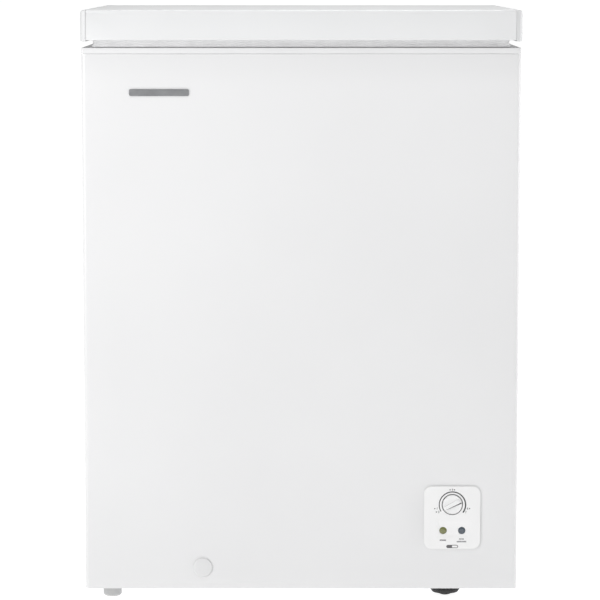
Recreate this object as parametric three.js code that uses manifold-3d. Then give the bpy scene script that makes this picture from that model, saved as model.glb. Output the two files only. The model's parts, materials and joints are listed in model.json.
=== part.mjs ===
// A small domestic chest freezer: foamed cabinet with a stepped tank, a balanced hinged lid,
// a compressor compartment at the lower right, a dial thermostat and a hanging basket.
// Millimetres, +Z up, the front faces -Y. The origin is on the floor at the centre of the box.
import * as THREE from 'three';
import { mergeVertices } from 'three/addons/utils/BufferGeometryUtils.js';
import Module from 'manifold-3d';

const wasm = await Module();
wasm.setup();

// ---------------------------------------------------------------- driving dimensions
const WIDTH = 625; // lid over its end caps
const DEPTH = 559; // lid front to the back of the hinges
const HEIGHT = 850; // floor to lid top
const GAP = 0.3; // clearance between pieces that touch
const FRONT = -DEPTH / 2;
const BACK = DEPTH / 2;

// cabinet
const CABINET = { half: 310.8, front: FRONT + 2.5, back: 262, bottom: 19.5, top: 788, corner: 6 };
const SHEET = 0.8; // steel sheet of the cabinet
const WALL = 50; // wrapper face to tank face
const RIM = { half: 311.2, front: CABINET.front - 0.4, back: CABINET.back + 0.4, top: 796.5, wall: 2.4 };
const LEDGE = { width: 8, top: 776, thickness: 2 }; // basket ledges along the front and rear
const REAR_PANEL_Y = 260; // front face of the rear panel

// tank (inner faces)
const LINER = 0.9;
const TANK = {
  half: CABINET.half - WALL,
  front: CABINET.front + WALL,
  back: CABINET.back - WALL,
  floor: 72,
  step: 55, // x of the wall that rises over the compartment
  stepTop: 290,
  corner: 18,
};

// compressor compartment, lower right, full depth
const BAY = { left: 105, right: 309.6, ceiling: 245, front: CABINET.front + 6.5, back: 259.6 };
const VENT = { front: -95, back: 95, bottom: 75, top: 195 }; // opening in the right-hand side
const GLAND = { x: 276, z: 58, r: 7 };

// lid
const LID = { bottom: 807.6, front: FRONT, back: 265.5, skin: 1, cap: 8.3, capDrop: 2 };
const GASKET = { inset: 15.2, width: 12, bottom: 796.8, top: LID.bottom - GAP, corner: 9 };
const PLUG = { half: 240, front: -205, back: 190, bottom: 786, corner: 20, wall: 1.5 };

// lid hinges
const PIN = { y: 273.5, z: 802, r: 2 };
const HINGE = { x: 200, halfWidth: 20, ear: BACK - PIN.y, plate: 1.6, bottom: 698, knuckle: 4 };
const CAM = { reach: 6, r: 3, angle: 40 }; // lobe centre from the pin axis, degrees below level
const SPRING = { r: 6, wire: 1, turns: 6, bottom: 702, top: 752 };

// controls
const PANEL = { left: 176.7, right: 257.6, bottom: 78, top: 169.3, corner: 11, proud: 2, plate: 1.7 };
const DIAL = { x: 217.4, z: 142.1, knob: 14.8, well: 16.2, shaft: 3, pointer: 62 };
const LAMPS = { r: 5, z: 104.6, left: 204.2, right: 231 };
const WELL_BACK = CABINET.front + 9.5; // rear face of the cup round the knob
const THERMOSTAT = { front: WELL_BACK + GAP, back: WELL_BACK + 27, halfWidth: 20, halfHeight: 14 };

// drain, badge, feet
const DRAIN = { x: -141.6, z: 50.6, cap: 13.75, tube: 7.5, bore: 5.5, tankY: -150, sides: 10 };
const BADGE = { left: -243.6, right: -158.7, bottom: 728.8, top: 738.7, thickness: 1.2 };
const FOOT = { r: 13.25, x: 275, front: -230, back: 220, top: CABINET.bottom - GAP };
const LEVELLER = { x: 210, y: -224, flange: 21.5, lip: 19, pad: 10.5, hub: 12, stud: 4 };

// refrigeration circuit
const COMPRESSOR = { x: 207, y: 165, r: 74, plateZ: 36, seam: 125, top: 205, mountX: 70, mountY: 45 };
const EVAPORATOR = { r: 4, offset: 5, levels: 5, first: 345, pitch: 95 };
const CONDENSER = { r: 2.5, offset: 3.5, levels: 4, first: 330, pitch: 110, back: 180 };
const OUTLET = { x: 118, y: TANK.back + LINER + EVAPORATOR.offset }; // evaporator to suction line
const DRIER = { x: 300, y: 236, r: 8.5, bottom: 130, top: 215 };
const DISCHARGE = { x: 302, y: 205 }; // riser from the compressor to the condenser
const CAPILLARY = { r: 1.2, x: -12, y: 230 };

// basket
const BASKET = { left: 40, right: 240, front: -222, back: 207, bottom: 600, wall: 3, taper: 12 };

// ---------------------------------------------------------------- solids
const solidOf = (geometry) => {
  const bare = geometry.clone();
  bare.deleteAttribute('normal');
  bare.deleteAttribute('uv');
  const merged = mergeVertices(bare, 1e-4);
  return new wasm.Manifold(
    new wasm.Mesh({
      numProp: 3,
      vertProperties: new Float32Array(merged.attributes.position.array),
      triVerts: new Uint32Array(merged.index.array),
    })
  );
};

const geometryOf = (solid) => {
  const mesh = solid.getMesh();
  const geometry = new THREE.BufferGeometry();
  geometry.setAttribute('position', new THREE.BufferAttribute(new Float32Array(mesh.vertProperties), 3));
  geometry.setIndex(new THREE.BufferAttribute(new Uint32Array(mesh.triVerts), 1));
  return geometry;
};

const join = (...shapes) => geometryOf(shapes.map(solidOf).reduce((a, b) => a.add(b)));
const cut = (base, ...tools) => geometryOf(tools.map(solidOf).reduce((a, b) => a.subtract(b), solidOf(base)));
const common = (a, b) => geometryOf(solidOf(a).intersect(solidOf(b)));

const box = (x0, x1, y0, y1, z0, z1) =>
  new THREE.BoxGeometry(x1 - x0, y1 - y0, z1 - z0).translate((x0 + x1) / 2, (y0 + y1) / 2, (z0 + z1) / 2);

// A rectangle with its own radius at each corner: low-low, high-low, high-high, low-high.
const rounded = (a0, a1, b0, b1, radii) => {
  const [r0, r1, r2, r3] = Array.isArray(radii) ? radii : [radii, radii, radii, radii];
  const shape = new THREE.Shape();
  const quarter = Math.PI / 2;
  const corner = (a, b, r, start) =>
    r > 0 ? shape.absarc(a, b, r, start, start + quarter, false) : shape.lineTo(a, b);
  shape.moveTo(a0 + r0, b0);
  corner(a1 - r1, b0 + r1, r1, -quarter);
  corner(a1 - r2, b1 - r2, r2, 0);
  corner(a0 + r3, b1 - r3, r3, quarter);
  corner(a0 + r0, b0 + r0, r0, 2 * quarter);
  return shape;
};

const outline = (points) => new THREE.Shape(points.map(([a, b]) => new THREE.Vector2(a, b)));

const extrude = (shape, depth, curveSegments = 3) =>
  new THREE.ExtrudeGeometry(shape, { depth, bevelEnabled: false, curveSegments });

const AXES = {
  x: new THREE.Matrix4().makeBasis(
    new THREE.Vector3(0, 1, 0), new THREE.Vector3(0, 0, 1), new THREE.Vector3(1, 0, 0)),
  y: new THREE.Matrix4().makeBasis(
    new THREE.Vector3(1, 0, 0), new THREE.Vector3(0, 0, 1), new THREE.Vector3(0, -1, 0)),
};
// A plan outline raised in z, a (y, z) outline run along x, and an (x, z) outline run along y.
const raise = (shape, z0, z1, segments) => extrude(shape, z1 - z0, segments).translate(0, 0, z0);
const runX = (shape, x0, x1, segments) => extrude(shape, x1 - x0, segments).applyMatrix4(AXES.x).translate(x0, 0, 0);
const runY = (shape, y0, y1, segments) => extrude(shape, y1 - y0, segments).applyMatrix4(AXES.y).translate(0, y1, 0);

// A profile of [radius, height] points turned about +Z; it starts and ends on the axis or is a closed loop.
const turn = (profile, segments = 24) => {
  const points = profile.map(([r, z]) => new THREE.Vector2(r, z));
  if (THREE.ShapeUtils.area(points) < 0) points.reverse();
  const onAxis = points[0].x === 0 && points[points.length - 1].x === 0;
  if (!onAxis) points.push(points[0].clone());
  return new THREE.LatheGeometry(points, segments).rotateX(Math.PI / 2);
};
const rod = (r, z0, z1, segments) => turn([[0, z0], [r, z0], [r, z1], [0, z1]], segments);
const ring = (inner, outer, z0, z1, segments) =>
  turn([[inner, z0], [outer, z0], [outer, z1], [inner, z1]], segments);
const faceFront = (geometry) => geometry.rotateX(Math.PI / 2); // +Z turned to -Y
const rodY = (r, x, z, y0, y1, segments) => faceFront(rod(r, -y1, -y0, segments)).translate(x, 0, z);

// A polyline path: each step of the sweep lands on one of its points.
class Route extends THREE.Curve {
  constructor(points) {
    super();
    this.points = points;
  }
  getPoint(t) {
    const place = t * (this.points.length - 1);
    const i = Math.min(Math.floor(place), this.points.length - 2);
    return this.points[i].clone().lerp(this.points[i + 1], place - i);
  }
  getPointAt(u) {
    return this.getPoint(u);
  }
  getTangentAt(u) {
    const i = Math.round(u * (this.points.length - 1));
    const before = this.points[Math.max(i - 1, 0)];
    const after = this.points[Math.min(i + 1, this.points.length - 1)];
    return after.clone().sub(before).normalize();
  }
}

// Straight runs between corner points, with each corner taken round a circular arc
// that leaves both runs at the distance `bend` from the corner.
const bent = (corners, bend, steps = 3) => {
  const points = corners.map((p) => new THREE.Vector3(...p));
  const route = [points[0]];
  for (let i = 1; i < points.length - 1; i++) {
    const back = points[i - 1].clone().sub(points[i]);
    const on = points[i + 1].clone().sub(points[i]);
    const reach = Math.min(bend, back.length() / 2.1, on.length() / 2.1);
    back.normalize();
    on.normalize();
    const centre = points[i].clone().addScaledVector(back.clone().add(on), reach / (1 + back.dot(on)));
    const from = points[i].clone().addScaledVector(back, reach).sub(centre);
    const to = points[i].clone().addScaledVector(on, reach).sub(centre);
    const axis = from.clone().cross(to).normalize();
    for (let k = 0; k <= steps; k++) {
      route.push(from.clone().applyAxisAngle(axis, (from.angleTo(to) * k) / steps).add(centre));
    }
  }
  return [...route, points[points.length - 1]];
};

const circle = (r, sides) =>
  outline(Array.from({ length: sides }, (_, i) => {
    const angle = (2 * Math.PI * i) / sides;
    return [r * Math.cos(angle), r * Math.sin(angle)];
  }));

const pipe = (points, r, sides = 6, bore = 0) => {
  const section = circle(r, sides);
  if (bore) section.holes.push(circle(bore, sides));
  return new THREE.ExtrudeGeometry(section, {
    steps: points.length - 1,
    bevelEnabled: false,
    extrudePath: new Route(points),
  });
};

// ---------------------------------------------------------------- finishes
const finish = (color, roughness, metalness) => new THREE.MeshStandardMaterial({ color, roughness, metalness });
const enamel = () => finish(0xf3f3f4, 0.35, 0.1);
const whitePlastic = () => finish(0xf0f0f1, 0.45, 0);
const panelPlastic = () => finish(0xf8f8f8, 0.4, 0);
const greyPlastic = () => finish(0xc9c9c9, 0.5, 0);
const blackPlastic = () => finish(0x1a1a1b, 0.6, 0);
const blackEnamel = () => finish(0x161617, 0.4, 0.3);
const gasketRubber = () => finish(0xd9d9da, 0.7, 0);
const blackRubber = () => finish(0x151515, 0.85, 0);
const embossedAluminium = () => finish(0xdadcde, 0.35, 0.8);
const zincSteel = () => finish(0xb4b7ba, 0.4, 0.9);
const springSteel = () => finish(0x9a9da0, 0.3, 1);
const copper = () => finish(0xb87048, 0.35, 1);
const foam = () => finish(0xe6d8a8, 0.9, 0);
const badgeMetal = () => finish(0x6c6e72, 0.35, 0.8);
const greenLens = () => finish(0x8c9040, 0.15, 0);
const blueLens = () => finish(0x4d5f70, 0.15, 0);
const basketWire = () => finish(0xf1f1f1, 0.4, 0);

const freezer = new THREE.Group();
const add = (name, geometry, material) => {
  const mesh = new THREE.Mesh(geometry, material);
  mesh.name = name;
  freezer.add(mesh);
};

// ---------------------------------------------------------------- cabinet sheets
function outerWrapper() {
  const { half, front, back, bottom, top, corner } = CABINET;
  const returnWidth = 15;
  const outside = rounded(-half, half, front, back, [corner, corner, 3, 3]);
  const inside = rounded(-half + SHEET, half - SHEET, front + SHEET, back - SHEET,
    [corner - SHEET, corner - SHEET, 2.2, 2.2]);
  const tube = cut(raise(outside, bottom, top), raise(inside, bottom - 1, top + 1));
  const rearOpening = box(-half + returnWidth, half - returnWidth, back - 2, back + 2, bottom - 1, top + 1);
  const margin = 5.5; // the panel's flange laps over the cut-out by this much
  const panelHole = box(PANEL.left + margin, PANEL.right - margin, front - 2, front + 2,
    PANEL.bottom + margin, PANEL.top - margin);
  const drainHole = rodY(DRAIN.tube + 0.5, DRAIN.x, DRAIN.z, front - 2, front + 2, 12);
  const ventHole = box(half - 2, half + 2, VENT.front, VENT.back, VENT.bottom, VENT.top);
  return cut(tube, rearOpening, panelHole, drainHole, ventHole);
}

function rearPanel() {
  const side = CABINET.half - 6;
  const top = CABINET.top - GAP;
  const bottom = CABINET.bottom + 1.1;
  const shape = outline([
    [-side, bottom], [BAY.left - 1, bottom], [BAY.left - 1, BAY.ceiling + 1],
    [side, BAY.ceiling + 1], [side, top], [-side, top],
  ]);
  return runY(shape, REAR_PANEL_Y, REAR_PANEL_Y + SHEET);
}

function basePan() {
  const { bottom } = CABINET;
  return box(-BAY.right, BAY.left - GAP, BAY.front, REAR_PANEL_Y - GAP, bottom, bottom + SHEET);
}

function compartmentBulkhead() {
  const profile = outline([
    [BAY.left, CABINET.bottom], [BAY.left + SHEET, CABINET.bottom],
    [BAY.left + SHEET, BAY.ceiling - SHEET], [BAY.right, BAY.ceiling - SHEET],
    [BAY.right, BAY.ceiling], [BAY.left, BAY.ceiling],
  ]);
  const hole = (x, y, r) => rod(r + 1, BAY.ceiling - 3, BAY.ceiling + 3, 8).translate(x, y, 0);
  return cut(
    runY(profile, BAY.front, BAY.back),
    hole(DISCHARGE.x, DISCHARGE.y, CONDENSER.r),
    hole(DRIER.x, DRIER.y, CONDENSER.r),
    hole(OUTLET.x, COMPRESSOR.y, EVAPORATOR.r),
    hole(COMPRESSOR.x - 77, CAPILLARY.y, CAPILLARY.r)
  );
}

function compressorTray() {
  const { bottom } = CABINET;
  const thickness = 1.5;
  const left = BAY.left + SHEET + GAP;
  const flange = 14;
  const floor = box(left, BAY.right, BAY.front, BAY.back - 1, bottom, bottom + thickness);
  const side = (x0, x1) => box(x0, x1, BAY.front, BAY.back - 1, bottom, bottom + flange);
  const slots = [];
  for (let y = -160; y <= 20; y += 20) slots.push(box(150, 265, y, y + 9, bottom - 1, bottom + 3));
  const stud = rod(LEVELLER.stud + 0.6, bottom - 1, bottom + 3, 12).translate(LEVELLER.x, LEVELLER.y, 0);
  return cut(join(floor, side(left, left + thickness), side(BAY.right - thickness, BAY.right)), ...slots, stud);
}

// ---------------------------------------------------------------- tank, rim and insulation
const tankOutline = (grow) =>
  outline([
    [-TANK.half - grow, TANK.floor - grow], [TANK.step + grow, TANK.floor - grow],
    [TANK.step + grow, TANK.stepTop - grow], [TANK.half + grow, TANK.stepTop - grow],
    [TANK.half + grow, 1000], [-TANK.half - grow, 1000],
  ]);
const tankPlan = (grow) =>
  rounded(-TANK.half - grow, TANK.half + grow, TANK.front - grow, TANK.back + grow, TANK.corner + grow);
const tankBlock = (grow, top) =>
  common(
    runY(tankOutline(grow), TANK.front - grow, TANK.back + grow),
    raise(tankPlan(grow), TANK.floor - grow - 1, top)
  );

function innerLiner() {
  const top = LEDGE.top - LEDGE.thickness - GAP;
  const drainHole = rod(DRAIN.tube + 0.5, TANK.floor - 5, TANK.floor + 5, 12)
    .translate(DRAIN.x, DRAIN.tankY, 0);
  return cut(tankBlock(LINER, top), tankBlock(0, top + 1), drainHole);
}

const rimOpening = (grow) =>
  rounded(-TANK.half - grow, TANK.half + grow, TANK.front - LEDGE.width - grow,
    TANK.back + LEDGE.width + grow, TANK.corner + grow);

function topFrame() {
  const { half, front, back, top, wall } = RIM;
  const bottom = CABINET.top + GAP;
  const skirtBottom = LEDGE.top - LEDGE.thickness;
  const plate = raise(rounded(-half, half, front, back, 3), bottom, top);
  const pocket = raise(rounded(-half + wall, half - wall, front + wall, back - wall, 2), bottom - 1, top - wall);
  const skirt = raise(rimOpening(wall), skirtBottom, top);
  const opening = raise(rimOpening(0), LEDGE.top, top + 1);
  const lower = raise(tankPlan(0), skirtBottom - 1, LEDGE.top + 1);
  return cut(join(cut(plate, pocket), skirt), opening, lower);
}

const evaporatorLevel = (i) => EVAPORATOR.first + i * EVAPORATOR.pitch;
const condenserLevel = (i) => CONDENSER.first + i * CONDENSER.pitch;

// Square channels round each level of tube, opening on the face that the tube lies against.
function evaporatorGrooves() {
  const near = 0; // the channels start inside the gap between tank and foam
  const far = EVAPORATOR.offset + EVAPORATOR.r + 0.6;
  const half = EVAPORATOR.r + 0.6;
  const band = tankPlan(LINER + far);
  band.holes.push(tankPlan(LINER + near));
  const rings = [];
  for (let i = 0; i < EVAPORATOR.levels; i++) {
    rings.push(raise(band, evaporatorLevel(i) - half, evaporatorLevel(i) + half));
  }
  const face = TANK.back + LINER + near;
  const deep = TANK.back + LINER + far;
  const last = evaporatorLevel(EVAPORATOR.levels - 1);
  const riser = box(-40, 40, face, deep, EVAPORATOR.first, last);
  const outlet = box(OUTLET.x - half, OUTLET.x + half, face, deep, 262, EVAPORATOR.first);
  const turnOut = box(OUTLET.x, OUTLET.x + 12, face, deep, EVAPORATOR.first - 14, EVAPORATOR.first);
  const elbow = box(OUTLET.x - half, OUTLET.x + half, face - 9, deep, 262, 284);
  const shelf = box(OUTLET.x - half, OUTLET.x + half, COMPRESSOR.y - half, deep, 254, 273);
  const down = box(OUTLET.x - half, OUTLET.x + half, COMPRESSOR.y - half, COMPRESSOR.y + half, 240, 273);
  return [...rings, riser, outlet, turnOut, elbow, shelf, down];
}

function condenserGrooves() {
  const half = CONDENSER.r + 0.5;
  const face = CABINET.half + 1;
  const deep = CABINET.half - SHEET - CONDENSER.offset - half;
  const frontFace = CABINET.front - 1;
  const frontDeep = CABINET.front + SHEET + CONDENSER.offset + half;
  const reach = CONDENSER.back + 6;
  const bend = 5;
  const band = outline([
    [-face, reach], [-face, frontFace], [face, frontFace], [face, reach],
    [deep, reach], [deep, frontDeep + bend], [deep - bend, frontDeep],
    [bend - deep, frontDeep], [-deep, frontDeep + bend], [-deep, reach],
  ]);
  const bands = [];
  for (let i = 0; i < CONDENSER.levels; i++) {
    bands.push(raise(band, condenserLevel(i) - half, condenserLevel(i) + half));
  }
  const last = condenserLevel(CONDENSER.levels - 1) + half;
  const leftTurns = box(-face, -deep, CONDENSER.back - 10, reach, CONDENSER.first, last);
  const rightTurns = box(deep, face, CONDENSER.back - 10, reach, CONDENSER.first, last);
  const downLeg = box(deep - 8, face, DRIER.y - half, DRIER.y + half, 240, last);
  const across = box(deep, face, CONDENSER.back, DRIER.y + half, last - 12, last);
  const inlet = box(deep - 8, face, DISCHARGE.y - half, DISCHARGE.y + half, 240, CONDENSER.first + half);
  const turnIn = box(deep, face, CONDENSER.back, DISCHARGE.y, CONDENSER.first - 12, CONDENSER.first + half);
  return [...bands, leftTurns, rightTurns, downLeg, across, inlet, turnIn];
}

function capillaryTunnel() {
  const w = CAPILLARY.r + 2;
  const x = COMPRESSOR.x - 77;
  const level = 262;
  const top = evaporatorLevel(EVAPORATOR.levels - 1);
  return [
    box(x - w, x + w, CAPILLARY.y - w, CAPILLARY.y + w, 240, level + w),
    box(CAPILLARY.x - w, x + w, CAPILLARY.y - w, CAPILLARY.y + w, level - w, level + w),
    box(CAPILLARY.x - w, CAPILLARY.x + w, CAPILLARY.y - w, CAPILLARY.y + w, level - w, top + w),
    box(CAPILLARY.x - w, CAPILLARY.x + w, OUTLET.y, CAPILLARY.y + w, top - w, top + w),
  ];
}

function insulationFoam() {
  const side = CABINET.half - SHEET - GAP;
  const front = CABINET.front + SHEET + GAP;
  const back = REAR_PANEL_Y - GAP;
  const bottom = CABINET.bottom + SHEET + GAP;
  const neckSide = RIM.half - RIM.wall - GAP;
  const neckFront = RIM.front + RIM.wall + GAP;
  const neckBack = RIM.back - RIM.wall - GAP;
  const block = raise(rounded(-side, side, front, back, [5, 5, 2, 2]), bottom, CABINET.top);
  const neck = raise(rounded(-neckSide, neckSide, neckFront, Math.min(neckBack, back), [5, 5, 2, 2]),
    CABINET.top - 1, RIM.top - RIM.wall - GAP);
  const skirtBottom = LEDGE.top - LEDGE.thickness - GAP;
  const mouth = raise(rimOpening(RIM.wall + GAP), skirtBottom, RIM.top + 1);
  const bay = box(BAY.left - GAP, CABINET.half, front - 1, back + 1, bottom - 1, BAY.ceiling + GAP);
  const drain = pipe(drainRoute(), DRAIN.tube + 0.5, DRAIN.sides);
  return cut(join(block, neck), tankBlock(LINER + GAP, RIM.top + 1), mouth, bay, drain,
    ...evaporatorGrooves(), ...condenserGrooves(), ...capillaryTunnel());
}

const drainRoute = () =>
  bent([
    [DRAIN.x, DRAIN.tankY, TANK.floor - 0.2],
    [DRAIN.x, DRAIN.tankY, DRAIN.z],
    [DRAIN.x, CABINET.front, DRAIN.z],
  ], 14, 4);

function evaporatorCoil() {
  const { r, offset, levels } = EVAPORATOR;
  const side = TANK.half + LINER + offset;
  const front = TANK.front - LINER - offset;
  const back = TANK.back + LINER + offset;
  const corners = [[OUTLET.x, back, 325], [OUTLET.x, back, EVAPORATOR.first]];
  for (let i = 0; i < levels; i++) {
    const z = evaporatorLevel(i);
    const start = i === 0 ? [] : [[12, back, z]];
    corners.push(...start, [side, back, z], [side, front, z], [-side, front, z], [-side, back, z], [-12, back, z]);
  }
  return pipe(bent(corners, TANK.corner + LINER + offset), r, 5);
}

function condenserCoil() {
  const { r, offset, levels } = CONDENSER;
  const side = CABINET.half - SHEET - offset;
  const front = CABINET.front + SHEET + offset;
  const corners = [[DISCHARGE.x, DISCHARGE.y, 300], [DISCHARGE.x, DISCHARGE.y, 316],
    [side, DISCHARGE.y, CONDENSER.first]];
  for (let i = 0; i < levels; i++) {
    const z = condenserLevel(i);
    const way = i % 2 === 0 ? 1 : -1;
    if (i > 0) corners.push([way * side, CONDENSER.back, z]);
    corners.push([way * side, front, z], [-way * side, front, z], [-way * side, CONDENSER.back, z]);
  }
  corners.pop();
  const last = condenserLevel(levels - 1);
  corners.push([side, DRIER.y, last], [side, DRIER.y, 275], [DRIER.x, DRIER.y, 262], [DRIER.x, DRIER.y, 246]);
  return pipe(bent(corners, 8), r, 5);
}

// ---------------------------------------------------------------- compressor compartment
function sideVentGrille() {
  const outer = CABINET.half + 1.5;
  const inner = CABINET.half - 6;
  const face = box(CABINET.half + GAP, outer, VENT.front - 6, VENT.back + 6, VENT.bottom - 6, VENT.top + 6);
  const body = box(inner, outer, VENT.front + 1, VENT.back - 1, VENT.bottom + 1, VENT.top - 1);
  const slots = [];
  for (let z = VENT.bottom + 8; z < VENT.top - 10; z += 14) {
    slots.push(box(inner - 1, outer + 1, VENT.front + 8, -4, z, z + 7));
    slots.push(box(inner - 1, outer + 1, 4, VENT.back - 8, z, z + 7));
  }
  return cut(join(face, body), ...slots);
}

function rearVentCover() {
  const front = REAR_PANEL_Y - 0.4;
  const back = front + 1.2;
  const plate = box(BAY.left + 2.5, BAY.right - 1, front, back, CABINET.bottom + 3.5, BAY.ceiling - 2);
  const slots = [];
  for (let z = 92; z < 225; z += 16) {
    slots.push(box(128, 200, front - 1, back + 1, z, z + 7));
    slots.push(box(212, 284, front - 1, back + 1, z, z + 7));
  }
  return cut(plate, ...slots, rodY(GLAND.r + 0.3, GLAND.x, GLAND.z, front - 2, back + 2, 16));
}

function cordGland() {
  const back = REAR_PANEL_Y + 0.8;
  const flange = faceFront(ring(4, GLAND.r + 3, -back - 3, -back - GAP, 16));
  const neck = faceFront(ring(4, GLAND.r, -back - 1, -back + 4, 16));
  return join(flange, neck).translate(GLAND.x, 0, GLAND.z);
}

function compressorBasePlate() {
  const { x, y, plateZ, mountX, mountY } = COMPRESSOR;
  const plate = raise(rounded(x - mountX - 14, x + mountX + 14, y - mountY - 14, y + mountY + 14, 14),
    plateZ, plateZ + 3);
  const holes = mounts().map(([mx, my]) => rod(8, plateZ - 1, plateZ + 4, 12).translate(mx, my, 0));
  return cut(plate, ...holes);
}
const mounts = () =>
  [[-1, -1], [1, -1], [1, 1], [-1, 1]].map(([sx, sy]) => [
    COMPRESSOR.x + sx * COMPRESSOR.mountX,
    COMPRESSOR.y + sy * COMPRESSOR.mountY,
  ]);

const grommet = ([x, y]) => {
  const floor = CABINET.bottom + 1.5 + GAP;
  const under = COMPRESSOR.plateZ - GAP;
  const over = COMPRESSOR.plateZ + 3 + GAP;
  return turn([[3.5, floor], [11, floor], [11, under], [7.6, under], [7.6, over], [10.5, over],
    [9.5, over + 4], [3.5, over + 4]], 12).translate(x, y, 0);
};

function compressorLowerShell() {
  const { x, y, r, plateZ, seam } = COMPRESSOR;
  const floor = plateZ + 3 + GAP;
  return turn([[0, floor], [52, floor], [r - 4, floor + 11], [r, floor + 23], [r, seam - 5], [r + 2, seam - 4],
    [r + 2, seam], [r - 3, seam], [r - 3, floor + 24], [r - 7, floor + 14], [50, floor + 3], [0, floor + 3]], 20)
    .translate(x, y, 0);
}

function compressorUpperShell() {
  const { x, y, r, seam, top } = COMPRESSOR;
  const low = seam + GAP;
  return turn([[0, top], [30, top - 2], [r - 18, top - 11], [r - 4, top - 28], [r, top - 46], [r, low + 3],
    [r + 1, low], [r - 3, low], [r - 3, top - 47], [r - 7, top - 30], [r - 20, top - 14], [29, top - 5],
    [0, top - 3]], 20).translate(x, y, 0);
}

function compressorMotor() {
  const { x, y } = COMPRESSOR;
  return turn([[0, 46], [46, 46], [46, 68], [62, 68], [62, 112], [40, 112], [40, 150], [22, 150], [22, 172],
    [0, 172]], 16).translate(x, y, 0);
}

const terminalCover = () =>
  cut(box(187, 227, 64, 90, 74, 118), box(190, 224, 67, 91, 77, 115));

function filterDrier() {
  const { x, y, r, bottom, top } = DRIER;
  return turn([[0, 119.5], [1.6, 119.5], [1.6, bottom - 4], [r, bottom + 6], [r, top - 8], [2.5, top],
    [2.5, BAY.ceiling + 0.6], [0, BAY.ceiling + 0.6]], 12).translate(x, y, 0);
}

const suctionLine = () => {
  const { x, y, r } = COMPRESSOR;
  return pipe(bent([[x - r - GAP, y, 100], [OUTLET.x, y, 100], [OUTLET.x, y, 268], [OUTLET.x, OUTLET.y, 268],
    [OUTLET.x, OUTLET.y, 324.7]], 10), EVAPORATOR.r, 6);
};

const dischargeLine = () => {
  const { x, y, r } = COMPRESSOR;
  return pipe(bent([[x + r + GAP, y, 75], [DISCHARGE.x, y, 75], [DISCHARGE.x, y, 150],
    [DISCHARGE.x, DISCHARGE.y, 150], [DISCHARGE.x, DISCHARGE.y, 299.7]], 9), CONDENSER.r, 6);
};

const capillaryTube = () => {
  const x = COMPRESSOR.x - 77;
  const top = evaporatorLevel(EVAPORATOR.levels - 1);
  return pipe(bent([[DRIER.x, DRIER.y, 119.2], [DRIER.x, DRIER.y, 96], [DRIER.x, 250, 96], [x, 250, 96],
    [x, 250, 200], [x, CAPILLARY.y, 200], [x, CAPILLARY.y, 262], [CAPILLARY.x, CAPILLARY.y, 262],
    [CAPILLARY.x, CAPILLARY.y, top], [CAPILLARY.x, OUTLET.y + EVAPORATOR.r + GAP, top]], 4, 2), CAPILLARY.r, 5);
};

const wiringLoom = () =>
  pipe(bent([[205, THERMOSTAT.back + GAP, 142], [205, -222, 142], [110.5, -222, 142], [110.5, 40, 142],
    [110.5, 40, 100], [200, 40, 100], [200, 63.7, 100]], 14), 3, 6);

// ---------------------------------------------------------------- controls

function controlPanel() {
  const front = CABINET.front - PANEL.proud;
  const back = front + PANEL.plate;
  const { left, right, bottom, top, corner } = PANEL;
  const plate = runY(rounded(left, right, bottom, top, corner), front, back, 6);
  const skirtInset = 6.5;
  const skirt = cut(
    box(left + skirtInset, right - skirtInset, front + 0.5, CABINET.front + 8,
      bottom + skirtInset, top - skirtInset),
    box(left + skirtInset + 1.6, right - skirtInset - 1.6, back, CABINET.front + 9,
      bottom + skirtInset + 1.6, top - skirtInset - 1.6)
  );
  const cup = rodY(DIAL.well + 1.4, DIAL.x, DIAL.z, front + 0.5, WELL_BACK, 24);
  const well = rodY(DIAL.well, DIAL.x, DIAL.z, front - 1, WELL_BACK - 1.4, 24);
  const shaftHole = rodY(DIAL.shaft + GAP, DIAL.x, DIAL.z, front, WELL_BACK + 1, 12);
  const lampHole = (x) => rodY(LAMPS.r + GAP, x, LAMPS.z, front - 1, back + 1, 16);
  return cut(join(plate, skirt, cup), well, shaftHole, lampHole(LAMPS.left), lampHole(LAMPS.right));
}

const thermostatBody = () => {
  const { front, back, halfWidth, halfHeight } = THERMOSTAT;
  return cut(
    box(DIAL.x - halfWidth, DIAL.x + halfWidth, front, back, DIAL.z - halfHeight, DIAL.z + halfHeight),
    rodY(DIAL.shaft + GAP, DIAL.x, DIAL.z, front - 1, front + 10, 12)
  );
};

function thermostatKnob() {
  const face = CABINET.front - PANEL.proud + 0.8;
  const back = WELL_BACK - 1.4 - 0.6;
  const disc = rodY(DIAL.knob, DIAL.x, DIAL.z, face, back, 24);
  const hollow = faceFront(ring(DIAL.shaft + 3, DIAL.knob - 1.6, -back - 1, -face - 2.4, 24))
    .translate(DIAL.x, 0, DIAL.z);
  const bore = rodY(DIAL.shaft + GAP, DIAL.x, DIAL.z, face + 2.4, back + 1, 12);
  const rib = box(-1.4, 1.4, face - 1, face + 1, -DIAL.knob + 4, DIAL.knob - 1.5)
    .rotateY(THREE.MathUtils.degToRad(DIAL.pointer)).translate(DIAL.x, 0, DIAL.z);
  return join(cut(disc, hollow, bore), rib);
}

const thermostatShaft = () => {
  const face = CABINET.front - PANEL.proud + 0.8;
  return rodY(DIAL.shaft, DIAL.x, DIAL.z, face + 2.4 + GAP, THERMOSTAT.front + 9, 12);
};

const lampLens = (x) => {
  const front = CABINET.front - PANEL.proud;
  const behind = front + PANEL.plate + GAP;
  return join(
    rodY(LAMPS.r, x, LAMPS.z, front - 0.3, behind + 1.5, 16),
    rodY(LAMPS.r + 1.4, x, LAMPS.z, behind, behind + 1.5, 16)
  );
};

function lampBoard() {
  const plateY = CABINET.front + 5.5;
  const plate = box(LAMPS.left - 11, LAMPS.right + 11, plateY, plateY + 1.6, LAMPS.z - 8, LAMPS.z + 8);
  const lamp = (x) => rodY(2.5, x, LAMPS.z, CABINET.front + 2.2, plateY + 1, 10);
  return join(plate, lamp(LAMPS.left), lamp(LAMPS.right));
}

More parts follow.
